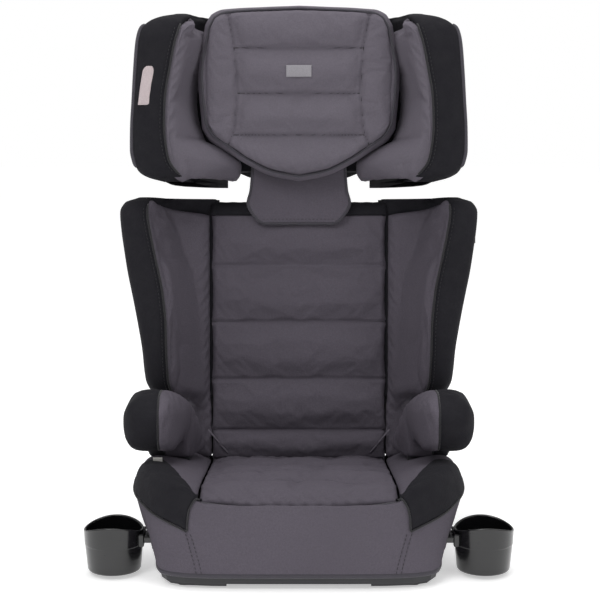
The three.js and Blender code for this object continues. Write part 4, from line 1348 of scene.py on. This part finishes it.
def cup_bracket():
    """The plate and tongue that carry the cup, with rounded edges."""
    mesh = bpy.data.meshes.new("cup_right_bracket")
    low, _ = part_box("cup_holder_right")
    bars = ((low.x / MM, 194, 15, 42, 50), (192, 199, 19, 38, 54))
    with reshaping(mesh) as shape:
        for x0, x1, half, z0, z1 in bars:
            for vertex in bmesh.ops.create_cube(shape, size=1.0)["verts"]:
                x = (x0 + x1) / 2 + vertex.co.x * (x1 - x0)
                y = CUP_CENTRE[1] + vertex.co.y * 2 * half
                z = (z0 + z1) / 2 + vertex.co.z * (z1 - z0)
                vertex.co = Vector((x, y, z)) * MM
    made = placed("cup_right_bracket", mesh)
    bevel = made.modifiers.new("Edges", "BEVEL")
    bevel.width, bevel.segments = 0.0016, 3
    return made


# ---------------------------------------------------------------- carried-over CAD nodes
def finish_nodes():
    """Gives every CAD node its finish, and soft edges to the moulded ones."""
    finishes = {"steel": STEEL, "rubber": RUBBER, "foam": FOAM, "gloss_black": GLOSS,
                "grey_fabric": GREY, "light_grey_fabric": PAD_GREY, "black_fabric": BLACK}
    slots = {part["node"]: part["material_slot"] for part in frame["record"]["subparts"]}
    for name, node in frame["nodes"].items():
        material = finishes.get(slots[name], PLASTIC)
        if not node.material_slots:
            continue
        for entry in node.material_slots:
            entry.link = "OBJECT"
            entry.material = material
        if material in (PLASTIC, STEEL, GLOSS):
            bevel = node.modifiers.new("Edges", "BEVEL")
            bevel.width, bevel.segments, bevel.limit_method = 0.0007, 2, "ANGLE"
            bevel.angle_limit = math.radians(35)


# ---------------------------------------------------------------- studio
def area_light(name, place, aim, size, power):
    data = bpy.data.lights.new(name, "AREA")
    data.shape = "DISK"
    data.size, data.energy = size, power
    made = placed(name, data)
    made.location = place
    made.rotation_euler = (Vector(aim) - Vector(place)).to_track_quat("-Z", "Y").to_euler()


def light_world(tree):
    """White behind the object, and a softer light on it that comes mostly from above."""
    place = add_node(tree, "ShaderNodeTexCoord", {}).outputs["Generated"]
    parts = add_node(tree, "ShaderNodeSeparateXYZ", {"Vector": place})
    levels = {"From Min": -0.3, "From Max": 0.9, "To Min": 0.20, "To Max": 0.74, "Value": parts.outputs["Z"]}
    height = add_node(tree, "ShaderNodeMapRange", levels).outputs["Result"]
    seen = add_node(tree, "ShaderNodeLightPath", {}).outputs["Is Camera Ray"]
    strength = add_node(tree, "ShaderNodeMix", {"Factor": seen, "A": height, "B": 1.0}).outputs["Result"]
    feed(tree, tree.nodes["Background"].inputs["Strength"], strength)


def studio():
    mesh = bpy.data.meshes.new("floor")
    with reshaping(mesh) as shape:
        bmesh.ops.create_grid(shape, x_segments=1, y_segments=1, size=6)
    floor = placed("floor", mesh)
    floor.location = (0, 2, -0.0006)
    f = Finish("pale_floor")
    f.set(Base_Color=f.blend(f.noise(3, 1.0), (0.86, 0.86, 0.86), (0.89, 0.89, 0.89)))
    f.set(Roughness=0.9, Emission_Color=(1, 1, 1, 1), Emission_Strength=0.45)
    floor.data.materials.append(f.material)
    world = bpy.data.worlds.new("white_studio")
    world.use_nodes = True
    world.node_tree.nodes["Background"].inputs["Color"].default_value = (1, 1, 1, 1)
    light_world(world.node_tree)
    bpy.context.scene.world = world
    bpy.context.scene.view_settings.view_transform = "Standard"
    area_light("key", (-0.9, -1.9, 2.2), (0, 0, 0.35), 1.2, 20)
    area_light("fill", (1.8, -1.6, 1.2), (0, 0, 0.3), 1.6, 6)
    area_light("top", (0.1, 0.1, 2.4), (0, 0, 0.3), 1.2, 16)
    camera = placed("camera", bpy.data.cameras.new("camera"))
    camera.data.lens, camera.data.sensor_width = 92.4, 36
    camera.data.shift_x = 0.002
    camera.location = (0, -2.0, 0.625)
    camera.rotation_euler = (math.radians(90 - 8.56), 0, 0)
    bpy.context.scene.camera = camera


studio()
finish_nodes()
back_cushion()
back_trim()
shoulders()
head_wings()
head_back()
pillow()
neck_flap()
wing_label()
seat_cover()
corner_panel()
seat_cushion()
seat_side_label()
corner_straps()
shoulder_tab()
armrests()
cup_holder()
